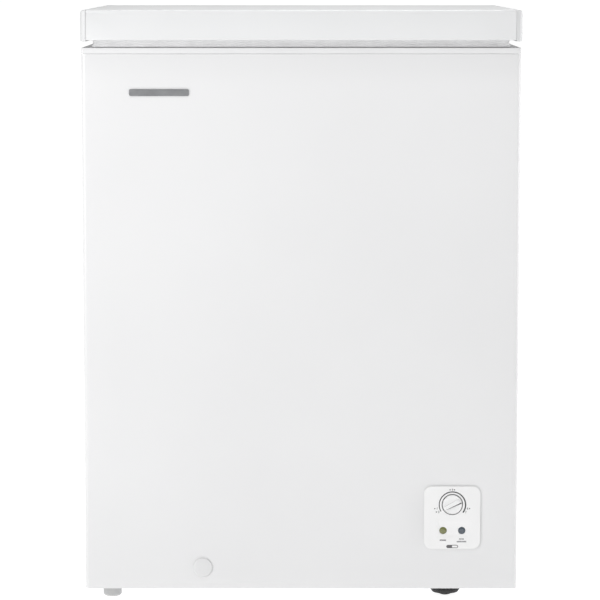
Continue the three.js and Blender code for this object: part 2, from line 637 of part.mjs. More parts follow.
// ---------------------------------------------------------------- drain, badge and feet
function drainCap() {
  const back = CABINET.front - GAP;
  const disc = turn([[0, -back], [DRAIN.cap, -back], [DRAIN.cap, -back + 1], [DRAIN.cap - 1.2, -back + 2],
    [0, -back + 2.1]], 24);
  const stem = rod(DRAIN.bore - GAP - 0.2, -back - 14, -back + 1, 12);
  return faceFront(join(disc, stem)).translate(DRAIN.x, 0, DRAIN.z);
}

function tankDrainPlug() {
  const floor = TANK.floor + GAP;
  return turn([[0, floor - 14], [4, floor - 14], [5, floor - 10], [5, floor], [12, floor], [12, floor + 2],
    [4, floor + 3], [4, floor + 9], [0, floor + 9]], 16).translate(DRAIN.x, DRAIN.tankY, 0);
}

const badgePlate = () =>
  runY(rounded(BADGE.left, BADGE.right, BADGE.bottom, BADGE.top, 2.5),
    CABINET.front - GAP - BADGE.thickness, CABINET.front - GAP, 3);

const fixedFoot = (x, y) =>
  turn([[3.4, 0], [FOOT.r - 2.5, 0], [FOOT.r - 0.7, 0.8], [FOOT.r, 2.6], [FOOT.r, FOOT.top], [3.4, FOOT.top]], 16)
    .translate(x, y, 0);

const levellingFoot = () => {
  const { x, y, flange, lip, pad, hub, stud } = LEVELLER;
  return turn([[0, 0], [pad - 2, 0], [pad, 2], [pad, 3], [lip, 3.2], [flange, 9], [flange, 12], [hub, 12.4],
    [hub, FOOT.top], [stud, FOOT.top], [stud, 46], [0, 46]], 20).translate(x, y, 0);
};

// ---------------------------------------------------------------- lid
const lidEnd = WIDTH / 2 - LID.cap - GAP; // half length of the pressed lid shell

function lidShell() {
  const { front, back, bottom, skin } = LID;
  const lip = 6;
  const outside = rounded(front, back, bottom, HEIGHT, [0.5, 0.5, 3.5, 3.5]);
  const inside = rounded(front + skin, back - skin, bottom + skin, HEIGHT - skin, [0.2, 0.2, 2.5, 2.5]);
  const opening = box(-lidEnd - 1, lidEnd + 1, front + skin + lip, back - skin - lip, bottom - 1, bottom + 2);
  return cut(runX(outside, -lidEnd, lidEnd), runX(inside, -lidEnd - 1, lidEnd + 1), opening);
}

function lidEndCap(side) {
  const { front, back, bottom, cap, capDrop } = LID;
  const outer = WIDTH / 2;
  const inner = outer - cap;
  const low = bottom - capDrop;
  const wall = 2.2;
  const plan = rounded(inner, outer, front, back, [0, 8, 6, 0]);
  const profile = rounded(inner, outer, low, HEIGHT, [0, 1, 4, 0]);
  const solid = common(raise(plan, low, HEIGHT), runY(profile, front, back));
  const pocket = box(inner - 1, outer - wall, front + 3 * wall, back - 3 * wall, low + wall, HEIGHT - wall);
  const piece = cut(solid, pocket);
  return side > 0 ? piece : geometryOf(solidOf(piece).mirror([1, 0, 0]));
}

const plugPlan = (shrink) =>
  rounded(-PLUG.half + shrink, PLUG.half - shrink, PLUG.front + shrink, PLUG.back - shrink, PLUG.corner - shrink);

function lidLiner() {
  const edge = LID.skin + 6 + GAP;
  const plate = box(-lidEnd, lidEnd, LID.front + edge, LID.back - edge, LID.bottom, LID.bottom + PLUG.wall);
  const drop = raise(plugPlan(0), PLUG.bottom, LID.bottom + PLUG.wall);
  const hollow = raise(plugPlan(PLUG.wall), PLUG.bottom + PLUG.wall, LID.bottom + PLUG.wall + 1);
  return cut(join(plate, drop), hollow);
}

function lidFoam() {
  const inset = LID.skin + GAP;
  const low = LID.bottom + PLUG.wall + GAP;
  const slab = runX(
    rounded(LID.front + inset, LID.back - inset, low, HEIGHT - inset, [0.2, 0.2, 2, 2]), -lidEnd, lidEnd);
  const plug = raise(plugPlan(PLUG.wall + GAP), PLUG.bottom + PLUG.wall + GAP, low + 1);
  return join(slab, plug);
}

function lidGasket() {
  const { inset, width, bottom, top, corner } = GASKET;
  const edge = (grow) =>
    rounded(-WIDTH / 2 + grow, WIDTH / 2 - grow, LID.front + grow, LID.back - grow, corner);
  const band = edge(inset);
  band.holes.push(edge(inset + width));
  return raise(band, bottom, top);
}

// ---------------------------------------------------------------- hinges
const lobe = () => {
  const angle = THREE.MathUtils.degToRad(CAM.angle);
  return { y: PIN.y - CAM.reach * Math.cos(angle), z: PIN.z - CAM.reach * Math.sin(angle) };
};
const rodX = (r, y, z, x0, x1, segments) => rod(r, x0, x1, segments).rotateY(Math.PI / 2).translate(0, y, z);

function hingeBase(x) {
  const { halfWidth, ear, plate, bottom } = HINGE;
  const faceY = REAR_PANEL_Y + SHEET + GAP;
  const top = CABINET.top + 6;
  const back = box(-halfWidth, halfWidth, faceY, faceY + plate, bottom, CABINET.top - 4);
  const floor = box(-halfWidth, halfWidth, faceY, BACK - 1, bottom, bottom + plate);
  const flange = (side) => {
    const x0 = side > 0 ? halfWidth - plate : -halfWidth;
    const web = outline([[faceY, bottom], [BACK - 1, bottom], [BACK - 1, top - 6], [BACK, top],
      [BACK, PIN.z], [PIN.y - ear, PIN.z], [PIN.y - ear, top], [faceY, CABINET.top - 4]]);
    return join(runX(web, x0, x0 + plate), rodX(ear, PIN.y, PIN.z, x0, x0 + plate, 20));
  };
  const hole = rodX(PIN.r + GAP, PIN.y, PIN.z, -halfWidth - 1, halfWidth + 1, 12);
  return cut(join(back, floor, flange(-1), flange(1)), hole).translate(x, 0, 0);
}

function hingePin(x) {
  const { halfWidth } = HINGE;
  return join(
    rodX(PIN.r, PIN.y, PIN.z, -halfWidth - 1.5, halfWidth + 1.5, 12),
    rodX(PIN.r + 1.5, PIN.y, PIN.z, -halfWidth - 2.5, -halfWidth - GAP, 12),
    rodX(PIN.r + 1.5, PIN.y, PIN.z, halfWidth + GAP, halfWidth + 2.5, 12)
  ).translate(x, 0, 0);
}

function hingeLeaf(x) {
  const reach = HINGE.halfWidth - HINGE.plate - 0.5;
  const face = LID.back + GAP;
  const plateTop = 842;
  const plate = box(-reach, reach, face, face + HINGE.plate, PIN.z + 3, plateTop);
  const barrel = rodX(HINGE.knuckle, PIN.y, PIN.z, -reach, reach, 16);
  const web = box(-reach, reach, face, PIN.y + 1, PIN.z + 1, PIN.z + HINGE.knuckle + 1);
  const centre = lobe();
  const cam = rodX(CAM.r, centre.y, centre.z, -6, 6, 12);
  const bridge = rodX(CAM.r, (centre.y + PIN.y) / 2, (centre.z + PIN.z) / 2, -6, 6, 12);
  const bore = rodX(PIN.r + GAP, PIN.y, PIN.z, -reach - 1, reach + 1, 12);
  return cut(join(plate, barrel, web, cam, bridge), bore).translate(x, 0, 0);
}

function hingePlunger(x) {
  const front = REAR_PANEL_Y + SHEET + GAP + HINGE.plate + GAP;
  const top = lobe().z - CAM.r - 0.5;
  const bladeBack = (lobe().y + PIN.y) / 2 - CAM.r - GAP; // clear of the cam's bridge with the lid open
  const blade = box(-6, 6, front, bladeBack, SPRING.top + 2, top);
  const seat = box(-14, 14, front, BACK - 1.5, SPRING.top + GAP, SPRING.top + 3);
  return join(blade, seat).translate(x, 0, 0);
}

function hingeSpring(x) {
  const { r, wire, turns, bottom, top } = SPRING;
  const y = PIN.y - 2.4;
  const steps = 8 * turns;
  const points = Array.from({ length: steps + 1 }, (_, i) => {
    const angle = (2 * Math.PI * turns * i) / steps;
    const z = bottom + wire + ((top - bottom - 2 * wire) * i) / steps;
    return new THREE.Vector3(x + r * Math.cos(angle), y + r * Math.sin(angle), z);
  });
  return pipe(points, wire, 5);
}

// ---------------------------------------------------------------- basket
// A rounded block whose sides lean in towards the bottom.
function leaningBlock(left, right, front, back, bottom, top, lean, corner) {
  const geometry = raise(rounded(left, right, front, back, corner), bottom, top);
  const position = geometry.getAttribute('position');
  const midX = (left + right) / 2;
  const midY = (front + back) / 2;
  for (let i = 0; i < position.count; i++) {
    const low = (top - position.getZ(i)) / (top - bottom);
    position.setX(i, midX + (position.getX(i) - midX) * (1 - (low * lean) / (right - midX)));
    position.setY(i, midY + (position.getY(i) - midY) * (1 - (low * lean) / (back - midY)));
  }
  return geometry;
}

function basket() {
  const { left, right, front, back, bottom, wall, taper } = BASKET;
  const rimBottom = LEDGE.top + GAP;
  const rimTop = rimBottom + 3.2;
  const hang = LEDGE.width - 3;
  const outer = leaningBlock(left, right, front, back, bottom, rimBottom + 1, taper, 14);
  const inner = leaningBlock(left + wall, right - wall, front + wall, back - wall, bottom + wall, rimTop + 10,
    taper, 12);
  const rim = box(left, right, TANK.front - hang, TANK.back + hang, rimBottom, rimTop);
  return cut(join(outer, rim), inner);
}

// ---------------------------------------------------------------- assembly
add('outer_wrapper', outerWrapper(), enamel());
add('rear_panel', rearPanel(), zincSteel());
add('base_pan', basePan(), zincSteel());
add('compartment_bulkhead', compartmentBulkhead(), zincSteel());
add('compressor_tray', compressorTray(), zincSteel());
add('insulation_foam', insulationFoam(), foam());
add('inner_liner', innerLiner(), embossedAluminium());
add('top_frame', topFrame(), whitePlastic());
add('evaporator_coil', evaporatorCoil(), copper());
add('condenser_coil', condenserCoil(), copper());
add('side_vent_grille', sideVentGrille(), whitePlastic());
add('rear_vent_cover', rearVentCover(), zincSteel());
add('cord_gland', cordGland(), blackRubber());
add('compressor_base_plate', compressorBasePlate(), blackEnamel());
mounts().forEach((place, i) => add(`compressor_grommet_${i + 1}`, grommet(place), blackRubber()));
add('compressor_lower_shell', compressorLowerShell(), blackEnamel());
add('compressor_upper_shell', compressorUpperShell(), blackEnamel());
add('compressor_motor', compressorMotor(), springSteel());
add('compressor_terminal_cover', terminalCover(), blackPlastic());
add('filter_drier', filterDrier(), copper());
add('suction_line', suctionLine(), copper());
add('discharge_line', dischargeLine(), copper());
add('capillary_tube', capillaryTube(), copper());
add('wiring_loom', wiringLoom(), blackPlastic());
add('control_panel', controlPanel(), panelPlastic());
add('thermostat_body', thermostatBody(), greyPlastic());
add('thermostat_knob', thermostatKnob(), panelPlastic());
add('thermostat_shaft', thermostatShaft(), springSteel());
add('lamp_board', lampBoard(), greyPlastic());
add('power_lamp_lens', lampLens(LAMPS.left), greenLens());
add('freeze_lamp_lens', lampLens(LAMPS.right), blueLens());
add('drain_tube', pipe(drainRoute(), DRAIN.tube, DRAIN.sides, DRAIN.bore), whitePlastic());
add('drain_cap', drainCap(), whitePlastic());
add('tank_drain_plug', tankDrainPlug(), blackRubber());
add('badge_plate', badgePlate(), badgeMetal());
add('foot_front_left', fixedFoot(-FOOT.x, FOOT.front), greyPlastic());
add('foot_rear_left', fixedFoot(-FOOT.x, FOOT.back), greyPlastic());
add('foot_rear_right', fixedFoot(FOOT.x, FOOT.back), greyPlastic());
add('levelling_foot', levellingFoot(), blackPlastic());
add('lid_shell', lidShell(), enamel());
add('lid_end_cap_left', lidEndCap(-1), whitePlastic());
add('lid_end_cap_right', lidEndCap(1), whitePlastic());
add('lid_foam', lidFoam(), foam());
add('lid_liner', lidLiner(), whitePlastic());
add('lid_gasket', lidGasket(), gasketRubber());
for (const [name, x] of [['left', -HINGE.x], ['right', HINGE.x]]) {
  add(`hinge_${name}_base`, hingeBase(x), zincSteel());
  add(`hinge_${name}_pin`, hingePin(x), springSteel());
  add(`hinge_${name}_leaf`, hingeLeaf(x), zincSteel());
  add(`hinge_${name}_plunger`, hingePlunger(x), springSteel());
  add(`hinge_${name}_spring`, hingeSpring(x), springSteel());
}
add('basket', basket(), basketWire());

export default freezer;
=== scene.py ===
"""The looks of a small chest freezer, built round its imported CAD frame.

Shapes are worked out in millimetres in the row frame and put into meshes in metres.
"""
import json
import math
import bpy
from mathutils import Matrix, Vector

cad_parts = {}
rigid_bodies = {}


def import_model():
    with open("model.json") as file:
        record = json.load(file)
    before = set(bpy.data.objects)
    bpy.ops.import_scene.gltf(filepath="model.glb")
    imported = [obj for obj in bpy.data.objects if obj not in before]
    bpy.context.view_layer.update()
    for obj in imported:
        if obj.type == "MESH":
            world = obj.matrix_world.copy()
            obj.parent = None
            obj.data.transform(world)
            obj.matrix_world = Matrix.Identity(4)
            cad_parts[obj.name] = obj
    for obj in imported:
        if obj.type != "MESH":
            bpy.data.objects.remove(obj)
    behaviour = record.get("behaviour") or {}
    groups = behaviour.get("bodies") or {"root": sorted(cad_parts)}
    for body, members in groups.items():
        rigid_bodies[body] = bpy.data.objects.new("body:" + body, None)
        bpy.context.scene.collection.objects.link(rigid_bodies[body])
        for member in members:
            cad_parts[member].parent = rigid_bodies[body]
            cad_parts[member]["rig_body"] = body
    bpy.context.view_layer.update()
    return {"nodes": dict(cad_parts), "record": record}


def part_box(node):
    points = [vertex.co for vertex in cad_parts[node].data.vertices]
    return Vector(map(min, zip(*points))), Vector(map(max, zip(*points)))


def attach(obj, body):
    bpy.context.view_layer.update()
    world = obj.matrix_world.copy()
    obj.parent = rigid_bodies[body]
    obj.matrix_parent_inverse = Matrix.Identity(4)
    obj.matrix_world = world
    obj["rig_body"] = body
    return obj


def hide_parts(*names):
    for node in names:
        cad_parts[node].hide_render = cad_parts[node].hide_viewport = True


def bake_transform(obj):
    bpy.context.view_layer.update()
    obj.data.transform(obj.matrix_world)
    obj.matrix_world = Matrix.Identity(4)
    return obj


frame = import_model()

from types import SimpleNamespace

import bmesh
import bpy
import numpy as np
from bpy.props import FloatProperty, FloatVectorProperty, PointerProperty
from mathutils import Vector

bl_info = {
    "name": "Chest Freezer Looks",
    "version": (1, 0, 0),
    "blender": (4, 5, 0),
    "location": "View3D > Sidebar > Freezer",
    "description": "Builds the finished pieces of a chest freezer round its CAD frame",
    "category": "Add Mesh",
}

MM = 0.001

# Heights in millimetres of the hinges' screws, in the base and in the leaf
BASE_SCREWS, LEAF_SCREWS = (712, 775), (820, 835)

# Inks of the printed marks; the grey ink also paints the shadow strip under the knob's rib
DARK_INK, GREY_PRINT_AND_SHADOW_INK = (0.045, 0.047, 0.05), (0.12, 0.12, 0.125)

# The stage, in metres, watts and degrees. Each light: its place, what it faces, its size and power
LIGHTS = {
    "key": ((-1.7, -1.6, 0.95), (-0.2, -0.28, 0.45), 0.9, 18.5),
    "front_top": ((0.1, -1.5, 2.9), (0.1, -0.28, 0.4), 0.8, 22),
    "right_side": ((2.1, 0.0, 0.7), (0.31, 0.0, 0.5), 1.2, 15),
    "overhead": ((0.2, 0.7, 2.7), (0, 0.1, 0.8), 1.6, 38),
}
WORLD_STRENGTH = 0.27
FLOOR_REACH, FLOOR_GLOW = 300.0, 0.93
CAMERA_PLACE, CAMERA_DIP, CAMERA_LENS = (-0.00165, -4.3985, 0.9095), 6.522, 174.5


def cad(node):
    """A CAD node's box at rest in millimetres: x0, x1, y0, y1, z0, z1 and its centre cx, cy, cz."""
    low, high = (np.array(corner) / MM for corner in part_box(node))
    ends = {axis + end: float(value[i])
            for i, axis in enumerate("xyz") for end, value in (("0", low), ("1", high))}
    middle = {"c" + axis: float(low[i] + high[i]) / 2 for i, axis in enumerate("xyz")}
    return SimpleNamespace(**ends, **middle)


# ---------------------------------------------------------------- surfaces
def quads(rows, columns, wrap_rows=False, wrap_columns=False):
    """The four-sided faces of a grid of points numbered row by row. A wrapped direction joins its
    last line to its first."""
    r = np.arange(rows if wrap_rows else rows - 1)[:, None]
    c = np.arange(columns if wrap_columns else columns - 1)[None, :]
    r2, c2 = (r + 1) % rows, (c + 1) % columns
    corners = np.broadcast_arrays(r * columns + c, r * columns + c2, r2 * columns + c2, r2 * columns + c)
    return np.stack(corners, axis=-1).reshape(-1, 4)


def shell(points, faces, rings=()):
    """A surface: its points, its quads and any many-sided end faces."""
    return np.asarray(points, float).reshape(-1, 3), [*faces.tolist(), *[list(ring) for ring in rings]]


def joined(*shells):
    """Several surfaces as one, each one's faces renumbered past the points before it."""
    starts = np.cumsum([0] + [len(points) for points, _ in shells])
    faces = [[i + int(start) for i in face] for start, (_, part) in zip(starts, shells) for face in part]
    return np.concatenate([points for points, _ in shells]), faces


def unit(vectors):
    return vectors / np.maximum(np.linalg.norm(vectors, axis=-1, keepdims=True), 1e-12)


def filleted(points, radii, steps=5, closed=True):
    """A line of corners with each corner taken round an arc. The arc of radius r touches both sides
    at r / tan(half the corner's angle) from the corner, and its points turn evenly about the centre."""
    corners = np.asarray(points, float)
    radii = np.broadcast_to(np.asarray(radii, float), len(corners)).copy()
    to_last, to_next = np.roll(corners, 1, 0) - corners, np.roll(corners, -1, 0) - corners
    room = np.minimum(np.linalg.norm(to_last, axis=1), np.linalg.norm(to_next, axis=1)) * 0.499
    a, b = unit(to_last), unit(to_next)
    angle = np.arccos(np.clip((a * b).sum(1), -1, 1))
    reach = np.minimum(radii / np.maximum(np.tan(angle / 2), 1e-9), room)
    radii = reach * np.tan(angle / 2)
    middle = corners + unit(a + b) * (radii / np.maximum(np.sin(angle / 2), 1e-9))[:, None]
    start, end = corners + a * reach[:, None] - middle, corners + b * reach[:, None] - middle
    turn = np.maximum(math.pi - angle, 1e-6)[:, None, None]
    k = np.linspace(0, 1, steps + 1)[None, :, None]
    arcs = (np.sin((1 - k) * turn) * start[:, None] + np.sin(k * turn) * end[:, None]) / np.sin(turn)
    arcs = middle[:, None] + arcs
    if closed:
        return arcs.reshape(-1, corners.shape[1])
    return np.concatenate([corners[:1], arcs[1:-1].reshape(-1, corners.shape[1]), corners[-1:]])


def rectangle(a0, a1, b0, b1, radius=0.0, steps=6):
    """A rectangle's outline with rounded corners, anticlockwise from its low corner."""
    return filleted([(a0, b0), (a1, b0), (a1, b1), (a0, b1)], radius, steps)


def loft(rings, wrap=False, first=True, last=True):
    """A skin over closed rings that have the same number of points. Without wrap, the first and last
    rings may be filled by flat faces."""
    rings = np.asarray(rings, float)
    rows, columns = rings.shape[:2]
    ends = []
    if not wrap and first:
        ends.append(range(columns - 1, -1, -1))
    if not wrap and last:
        ends.append(range((rows - 1) * columns, rows * columns))
    return shell(rings, quads(rows, columns, wrap, True), ends)


def at(outline, level, axis="z"):
    """A flat outline as a ring of points in space, at one level of the axis it doesn't span."""
    outline = np.asarray(outline, float)
    flat = np.full(len(outline), float(level))
    a, b = outline[:, 0], outline[:, 1]
    return np.stack({"z": (a, b, flat), "y": (a, flat, b), "x": (flat, a, b)}[axis], axis=1)


AXES = {
    "+z": np.eye(3),
    "-z": np.array([(1, 0, 0), (0, -1, 0), (0, 0, -1)], float),
    "-y": np.array([(1, 0, 0), (0, 0, 1), (0, -1, 0)], float),
    "+y": np.array([(-1, 0, 0), (0, 0, 1), (0, 1, 0)], float),
    "+x": np.array([(0, 1, 0), (0, 0, 1), (1, 0, 0)], float),
    "-x": np.array([(0, -1, 0), (0, 0, 1), (-1, 0, 0)], float),
}


def placed(surface, centre, axis="+z"):
    """A surface made about the origin with its own Z up, turned to face an axis and moved to a centre."""
    points, faces = surface
    return points @ AXES[axis] + np.asarray(centre, float), faces


def lathe(profile, steps=64, closed=False, flutes=None):
    """A profile of (radius, height) points turned about Z: x = r cos t, y = r sin t. `flutes` may give
    a change of radius for each profile point and each angle."""
    profile = np.asarray(profile, float)
    t = np.linspace(0, 2 * math.pi, steps, endpoint=False)
    r = np.repeat(profile[:, :1], steps, axis=1)
    z = np.repeat(profile[:, 1:], steps, axis=1)
    if flutes is not None:
        r = r + flutes(r, z, t[None, :])
    points = np.stack([r * np.cos(t), r * np.sin(t), z], axis=-1)
    return shell(points, quads(len(profile), steps, closed, True))


def soft_profile(points, radii, steps=4):
    """An open (radius, height) profile with rounded corners, for a lathe."""
    return filleted(points, radii, steps, closed=False)


def tube(path, radius, sides=10, closed=False, reference=(0.31, 0.52, 0.8)):
    """A round section carried along a path. Each ring is square to the path's direction there, with
    its first axis square to a reference direction that the path never takes."""
    path = np.asarray(path, float)
    ahead = np.roll(path, -1, 0) - path
    behind = path - np.roll(path, 1, 0)
    if not closed:
        ahead[-1], behind[0] = behind[-1], ahead[0]
    along = unit(unit(ahead) + unit(behind))
    side = unit(np.cross(along, np.asarray(reference, float)))
    up = np.cross(side, along)
    t = np.linspace(0, 2 * math.pi, sides, endpoint=False)
    radius = np.broadcast_to(np.asarray(radius, float), len(path))[:, None, None]
    cosine, sine = np.cos(t)[None, :, None], np.sin(t)[None, :, None]
    rings = path[:, None] + radius * (side[:, None] * cosine + up[:, None] * sine)
    return loft(rings, wrap=closed)


def disc_from_square(u, v):
    """The square about the origin mapped to discs: the larger of |u| and |v| becomes the radius, and
    the place along the square's side becomes the angle."""
    wide = np.abs(u) >= np.abs(v)
    r = np.where(wide, u, v)
    other = np.where(wide, v, u)
    ratio = np.divide(other, r, out=np.zeros_like(r), where=r != 0)
    turn = np.where(wide, math.pi / 4 * ratio, math.pi / 2 - math.pi / 4 * ratio)
    return r * np.cos(turn), r * np.sin(turn)


def round_hole(a, b, centre, radius, reach):
    """Points of a flat grid moved so that the square of half side `radius` about the centre becomes a
    circle. The move eases off to nothing at the square of half side `reach`."""
    u, v = a - centre[0], b - centre[1]
    weight = np.clip((reach - np.maximum(np.abs(u), np.abs(v))) / (reach - radius), 0, 1)
    cu, cv = disc_from_square(u, v)
    return a + weight * (cu - u), b + weight * (cv - v)


def round_corners(a, b, a0, a1, b0, b1, radius):
    """Points of a flat grid moved so that the corner squares of a rectangle become quarter discs."""
    middle = ((a0 + a1) / 2, (b0 + b1) / 2)
    corner = ((a1 - a0) / 2 - radius, (b1 - b0) / 2 - radius)
    u, v = a - middle[0], b - middle[1]
    over_u, over_v = np.abs(u) - corner[0], np.abs(v) - corner[1]
    inside = (over_u > 0) & (over_v > 0)
    cu, cv = disc_from_square(np.where(inside, over_u, 1.0), np.where(inside, over_v, 1.0))
    return (
        np.where(inside, middle[0] + np.sign(u) * (corner[0] + cu), a),
        np.where(inside, middle[1] + np.sign(v) * (corner[1] + cv), b),
    )


def lines(*stops, step=1e9):
    """Places along an axis: every stop, and even steps of at most `step` between neighbouring stops."""
    stops = np.unique(np.round(np.concatenate([np.atleast_1d(np.asarray(s, float)) for s in stops]), 5))
    runs = [np.linspace(p, q, max(1, math.ceil((q - p) / step)) + 1)[:-1] for p,
            q in zip(stops[:-1], stops[1:])]
    return np.concatenate([*runs, stops[-1:]])


def across(centre, radius, reach, count=8):
    """Grid places that a round hole needs: even steps over its width, and the end of its reach."""
    return np.concatenate([[centre - reach, centre + reach],
                           centre + np.linspace(-radius, radius, count + 1)])


def flat_grid(a, b, holes=()):
    """A grid over places a and b as (A, B, faces), with the faces inside each (a0, a1, b0, b1) hole
    left out."""
    grid_a, grid_b = np.meshgrid(a, b, indexing="ij")
    mid_a, mid_b = (a[:-1] + a[1:]) / 2, (b[:-1] + b[1:]) / 2
    keep = np.ones((len(a) - 1, len(b) - 1), bool)
    for a0, a1, b0, b1 in holes:
        keep &= ~(((mid_a > a0) & (mid_a < a1))[:, None] & ((mid_b > b0) & (mid_b < b1))[None, :])
    return grid_a, grid_b, quads(len(a), len(b))[keep.ravel()]


# ---------------------------------------------------------------- pieces
def piece(name, surface, material, body, replaces=(), wall=0.0, bevel=0.0, segments=2, smooth=32,
          facing_out=True):
    """A finished piece on its body: the surface in metres with its doubles merged and its faces turned
    outwards, then a wall's thickness, rounded edges, and smooth shading up to an angle."""
    points, faces = surface
    mesh = bpy.data.meshes.new(name)
    mesh.from_pydata((points * MM).tolist(), [], faces)
    work = bmesh.new()
    work.from_mesh(mesh)
    bmesh.ops.delete(work, geom=[v for v in work.verts if not v.link_faces], context="VERTS")
    bmesh.ops.remove_doubles(work, verts=work.verts, dist=2e-7)
    bmesh.ops.dissolve_degenerate(work, edges=work.edges, dist=1e-7)
    if facing_out:
        bmesh.ops.recalc_face_normals(work, faces=work.faces)
    work.to_mesh(mesh)
    work.free()
    return finished(name, mesh, material, body, replaces, wall, bevel, segments, smooth)


def finished(name, mesh, material, body, replaces, wall, bevel, segments, smooth):
    """Gives a mesh its wall, its rounded edges, its shading, its material and its body."""
    obj = bpy.data.objects.new(name, mesh)
    bpy.context.scene.collection.objects.link(obj)
    if wall:
        solid = obj.modifiers.new("wall", "SOLIDIFY")
        solid.thickness, solid.offset, solid.use_even_offset = wall * MM, -1, True
    if bevel:
        edge = obj.modifiers.new("edges", "BEVEL")
        edge.width, edge.segments, edge.limit_method = bevel * MM, segments, "ANGLE"
        edge.angle_limit = math.radians(35)
    if wall or bevel:
        bpy.context.view_layer.update()
        mesh = bpy.data.meshes.new_from_object(obj.evaluated_get(bpy.context.evaluated_depsgraph_get()))
        obj.modifiers.clear()
        obj.data = mesh
        mesh.name = name
    mesh.shade_smooth()
    mesh.set_sharp_from_angle(angle=math.radians(smooth))
    mesh.materials.clear()
    mesh.materials.append(material)
    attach(obj, body)
    if replaces:
        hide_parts(*replaces)
    return obj


def body_of(node):
    return next(body for body, nodes in frame["record"]["behaviour"]["bodies"].items() if node in nodes)


def refined(node, material, bevel=0.25, segments=2, smooth=32, suffix="part"):
    """A CAD node's own shape as a finished piece: a copy with its triangles merged, its flat faces made
    whole and its edges rounded. It stands for the node."""
    mesh = frame["nodes"][node].data.copy()
    work = bmesh.new()
    work.from_mesh(mesh)
    bmesh.ops.remove_doubles(work, verts=work.verts, dist=1e-6)
    bmesh.ops.dissolve_limit(work, angle_limit=math.radians(1), verts=work.verts, edges=work.edges)
    work.to_mesh(mesh)
    work.free()
    return finished(f"{node}_{suffix}", mesh, material, body_of(node), [node], 0, bevel, segments,
                    smooth)


def screw(radius, height, cross=0.55, steps=24):
    """A pan-head screw's head about the origin: a disc whose height falls off as a quarter ellipse near
    its edge, with a cross-shaped recess that deepens towards the middle."""
    rho = np.concatenate([np.linspace(0.02, 0.7, 8), [0.8, 0.9, 0.97, 1.0]])
    t = np.linspace(0, 2 * math.pi, steps, endpoint=False)
    x, y = rho[:, None] * np.cos(t), rho[:, None] * np.sin(t)
    dome = np.sqrt(np.clip(1 - rho**4, 0, 1))[:, None] * np.ones(steps)
    narrow = np.minimum(np.abs(x), np.abs(y))
    arm = np.clip((0.2 - narrow) / 0.08, 0, 1) * np.clip((cross - rho[:, None]) / 0.15, 0, 1)
    z = height * (dome - 0.55 * arm)
    top = np.stack([radius * x, radius * y, z], axis=-1)
    foot = top[-1:] * np.array([1, 1, 0])
    return loft(np.concatenate([top, foot]))


# ---------------------------------------------------------------- materials
class Finish:
    """A material in the making: one Principled shader, and the nodes that feed it."""

    def __init__(self, name, colour, roughness, metallic=0.0, **sockets):
        self.material = bpy.data.materials.new(name)
        self.material.use_nodes = True
        self.tree = self.material.node_tree
        self.shader = self.tree.nodes["Principled BSDF"]
        self.colour = (*colour[:3], 1.0)
        self.material.diffuse_color = self.colour
        self.set(self.shader, {"Base Color": self.colour, "Roughness": roughness, "Metallic": metallic})
        self.set(self.shader, {key.replace("_", " "): value for key, value in sockets.items()})
        self.coordinates = self.tree.nodes.new("ShaderNodeTexCoord")
        self.last_bump = None

    @staticmethod
    def set(node, values):
        for key, value in values.items():
            node.inputs[key].default_value = value

    def add(self, kind, links=(), values=(), **settings):
        """A node with its settings, its constant inputs and its linked inputs."""
        node = self.tree.nodes.new(kind)
        for key, value in settings.items():
            setattr(node, key, value)
        self.set(node, dict(values))
        for key, output in dict(links).items():
            self.tree.links.new(output, node.inputs[key])
        return node

    def place(self, stretch=(1, 1, 1), turn=(0, 0, 0)):
        """Object coordinates, stretched and turned for patterns that have a direction."""
        source = self.coordinates.outputs["Object"]
        if stretch == (1, 1, 1) and turn == (0, 0, 0):
            return source
        values = {"Scale": stretch, "Rotation": turn}
        return self.add("ShaderNodeMapping", {"Vector": source}, values).outputs["Vector"]

    def noise(self, scale, detail=2.0, rough=0.5, stretch=(1, 1, 1), turn=(0, 0, 0)):
        return self.add("ShaderNodeTexNoise", {"Vector": self.place(stretch, turn)},
                        {"Scale": scale, "Detail": detail, "Roughness": rough}).outputs["Fac"]

    def cells(self, scale, feature="F1", stretch=(1, 1, 1), output="Distance", randomness=1.0):
        return self.add("ShaderNodeTexVoronoi", {"Vector": self.place(stretch)},
                        {"Scale": scale, "Randomness": randomness}, feature=feature).outputs[output]

    def between(self, value, low, high, start=0.0, end=1.0):
        """A value from start to end mapped to low to high, held at the ends."""
        return self.add("ShaderNodeMapRange", {"Value": value},
                        {"From Min": start, "From Max": end, "To Min": low, "To Max": high}).outputs["Result"]

    def shade(self, factor, light, dark, start=0.3, end=0.7):
        """The base colour wandering between two strengths of itself as the factor changes."""
        ramp = self.add("ShaderNodeValToRGB", {"Fac": factor})
        first, second = ramp.color_ramp.elements
        first.position, second.position = start, end
        first.color = tuple(min(1.0, c * dark) for c in self.colour[:3]) + (1.0,)
        second.color = tuple(min(1.0, c * light) for c in self.colour[:3]) + (1.0,)
        self.tree.links.new(ramp.outputs["Color"], self.shader.inputs["Base Color"])
        return self

    def rough(self, factor, low, high, start=0.25, end=0.75):
        self.tree.links.new(self.between(factor, low, high, start, end), self.shader.inputs["Roughness"])
        return self

    def bump(self, height, distance, strength=1.0):
        """Relief of a height from 0 to 1 times a distance in metres, on top of any relief before it."""
        links = {"Height": height}
        if self.last_bump is not None:
            links["Normal"] = self.last_bump
        node = self.add("ShaderNodeBump", links, {"Distance": distance, "Strength": strength})
        self.last_bump = node.outputs["Normal"]
        self.tree.links.new(self.last_bump, self.shader.inputs["Normal"])
        return self


def painted(name, colour, roughness, peel, **sockets):
    """Baked enamel: soft clouding, orange peel in two sizes and faint wipe marks in the gloss."""
    f = Finish(name, colour, roughness, **sockets)
    f.shade(f.noise(3.5, 3), 1.012, 0.985)
    f.rough(f.noise(9, 4, 0.6, stretch=(1, 1, 2.5)), roughness - 0.05, roughness + 0.07)
    f.bump(f.noise(420, 2), peel)
    return f.bump(f.noise(150, 1), peel * 1.6).material


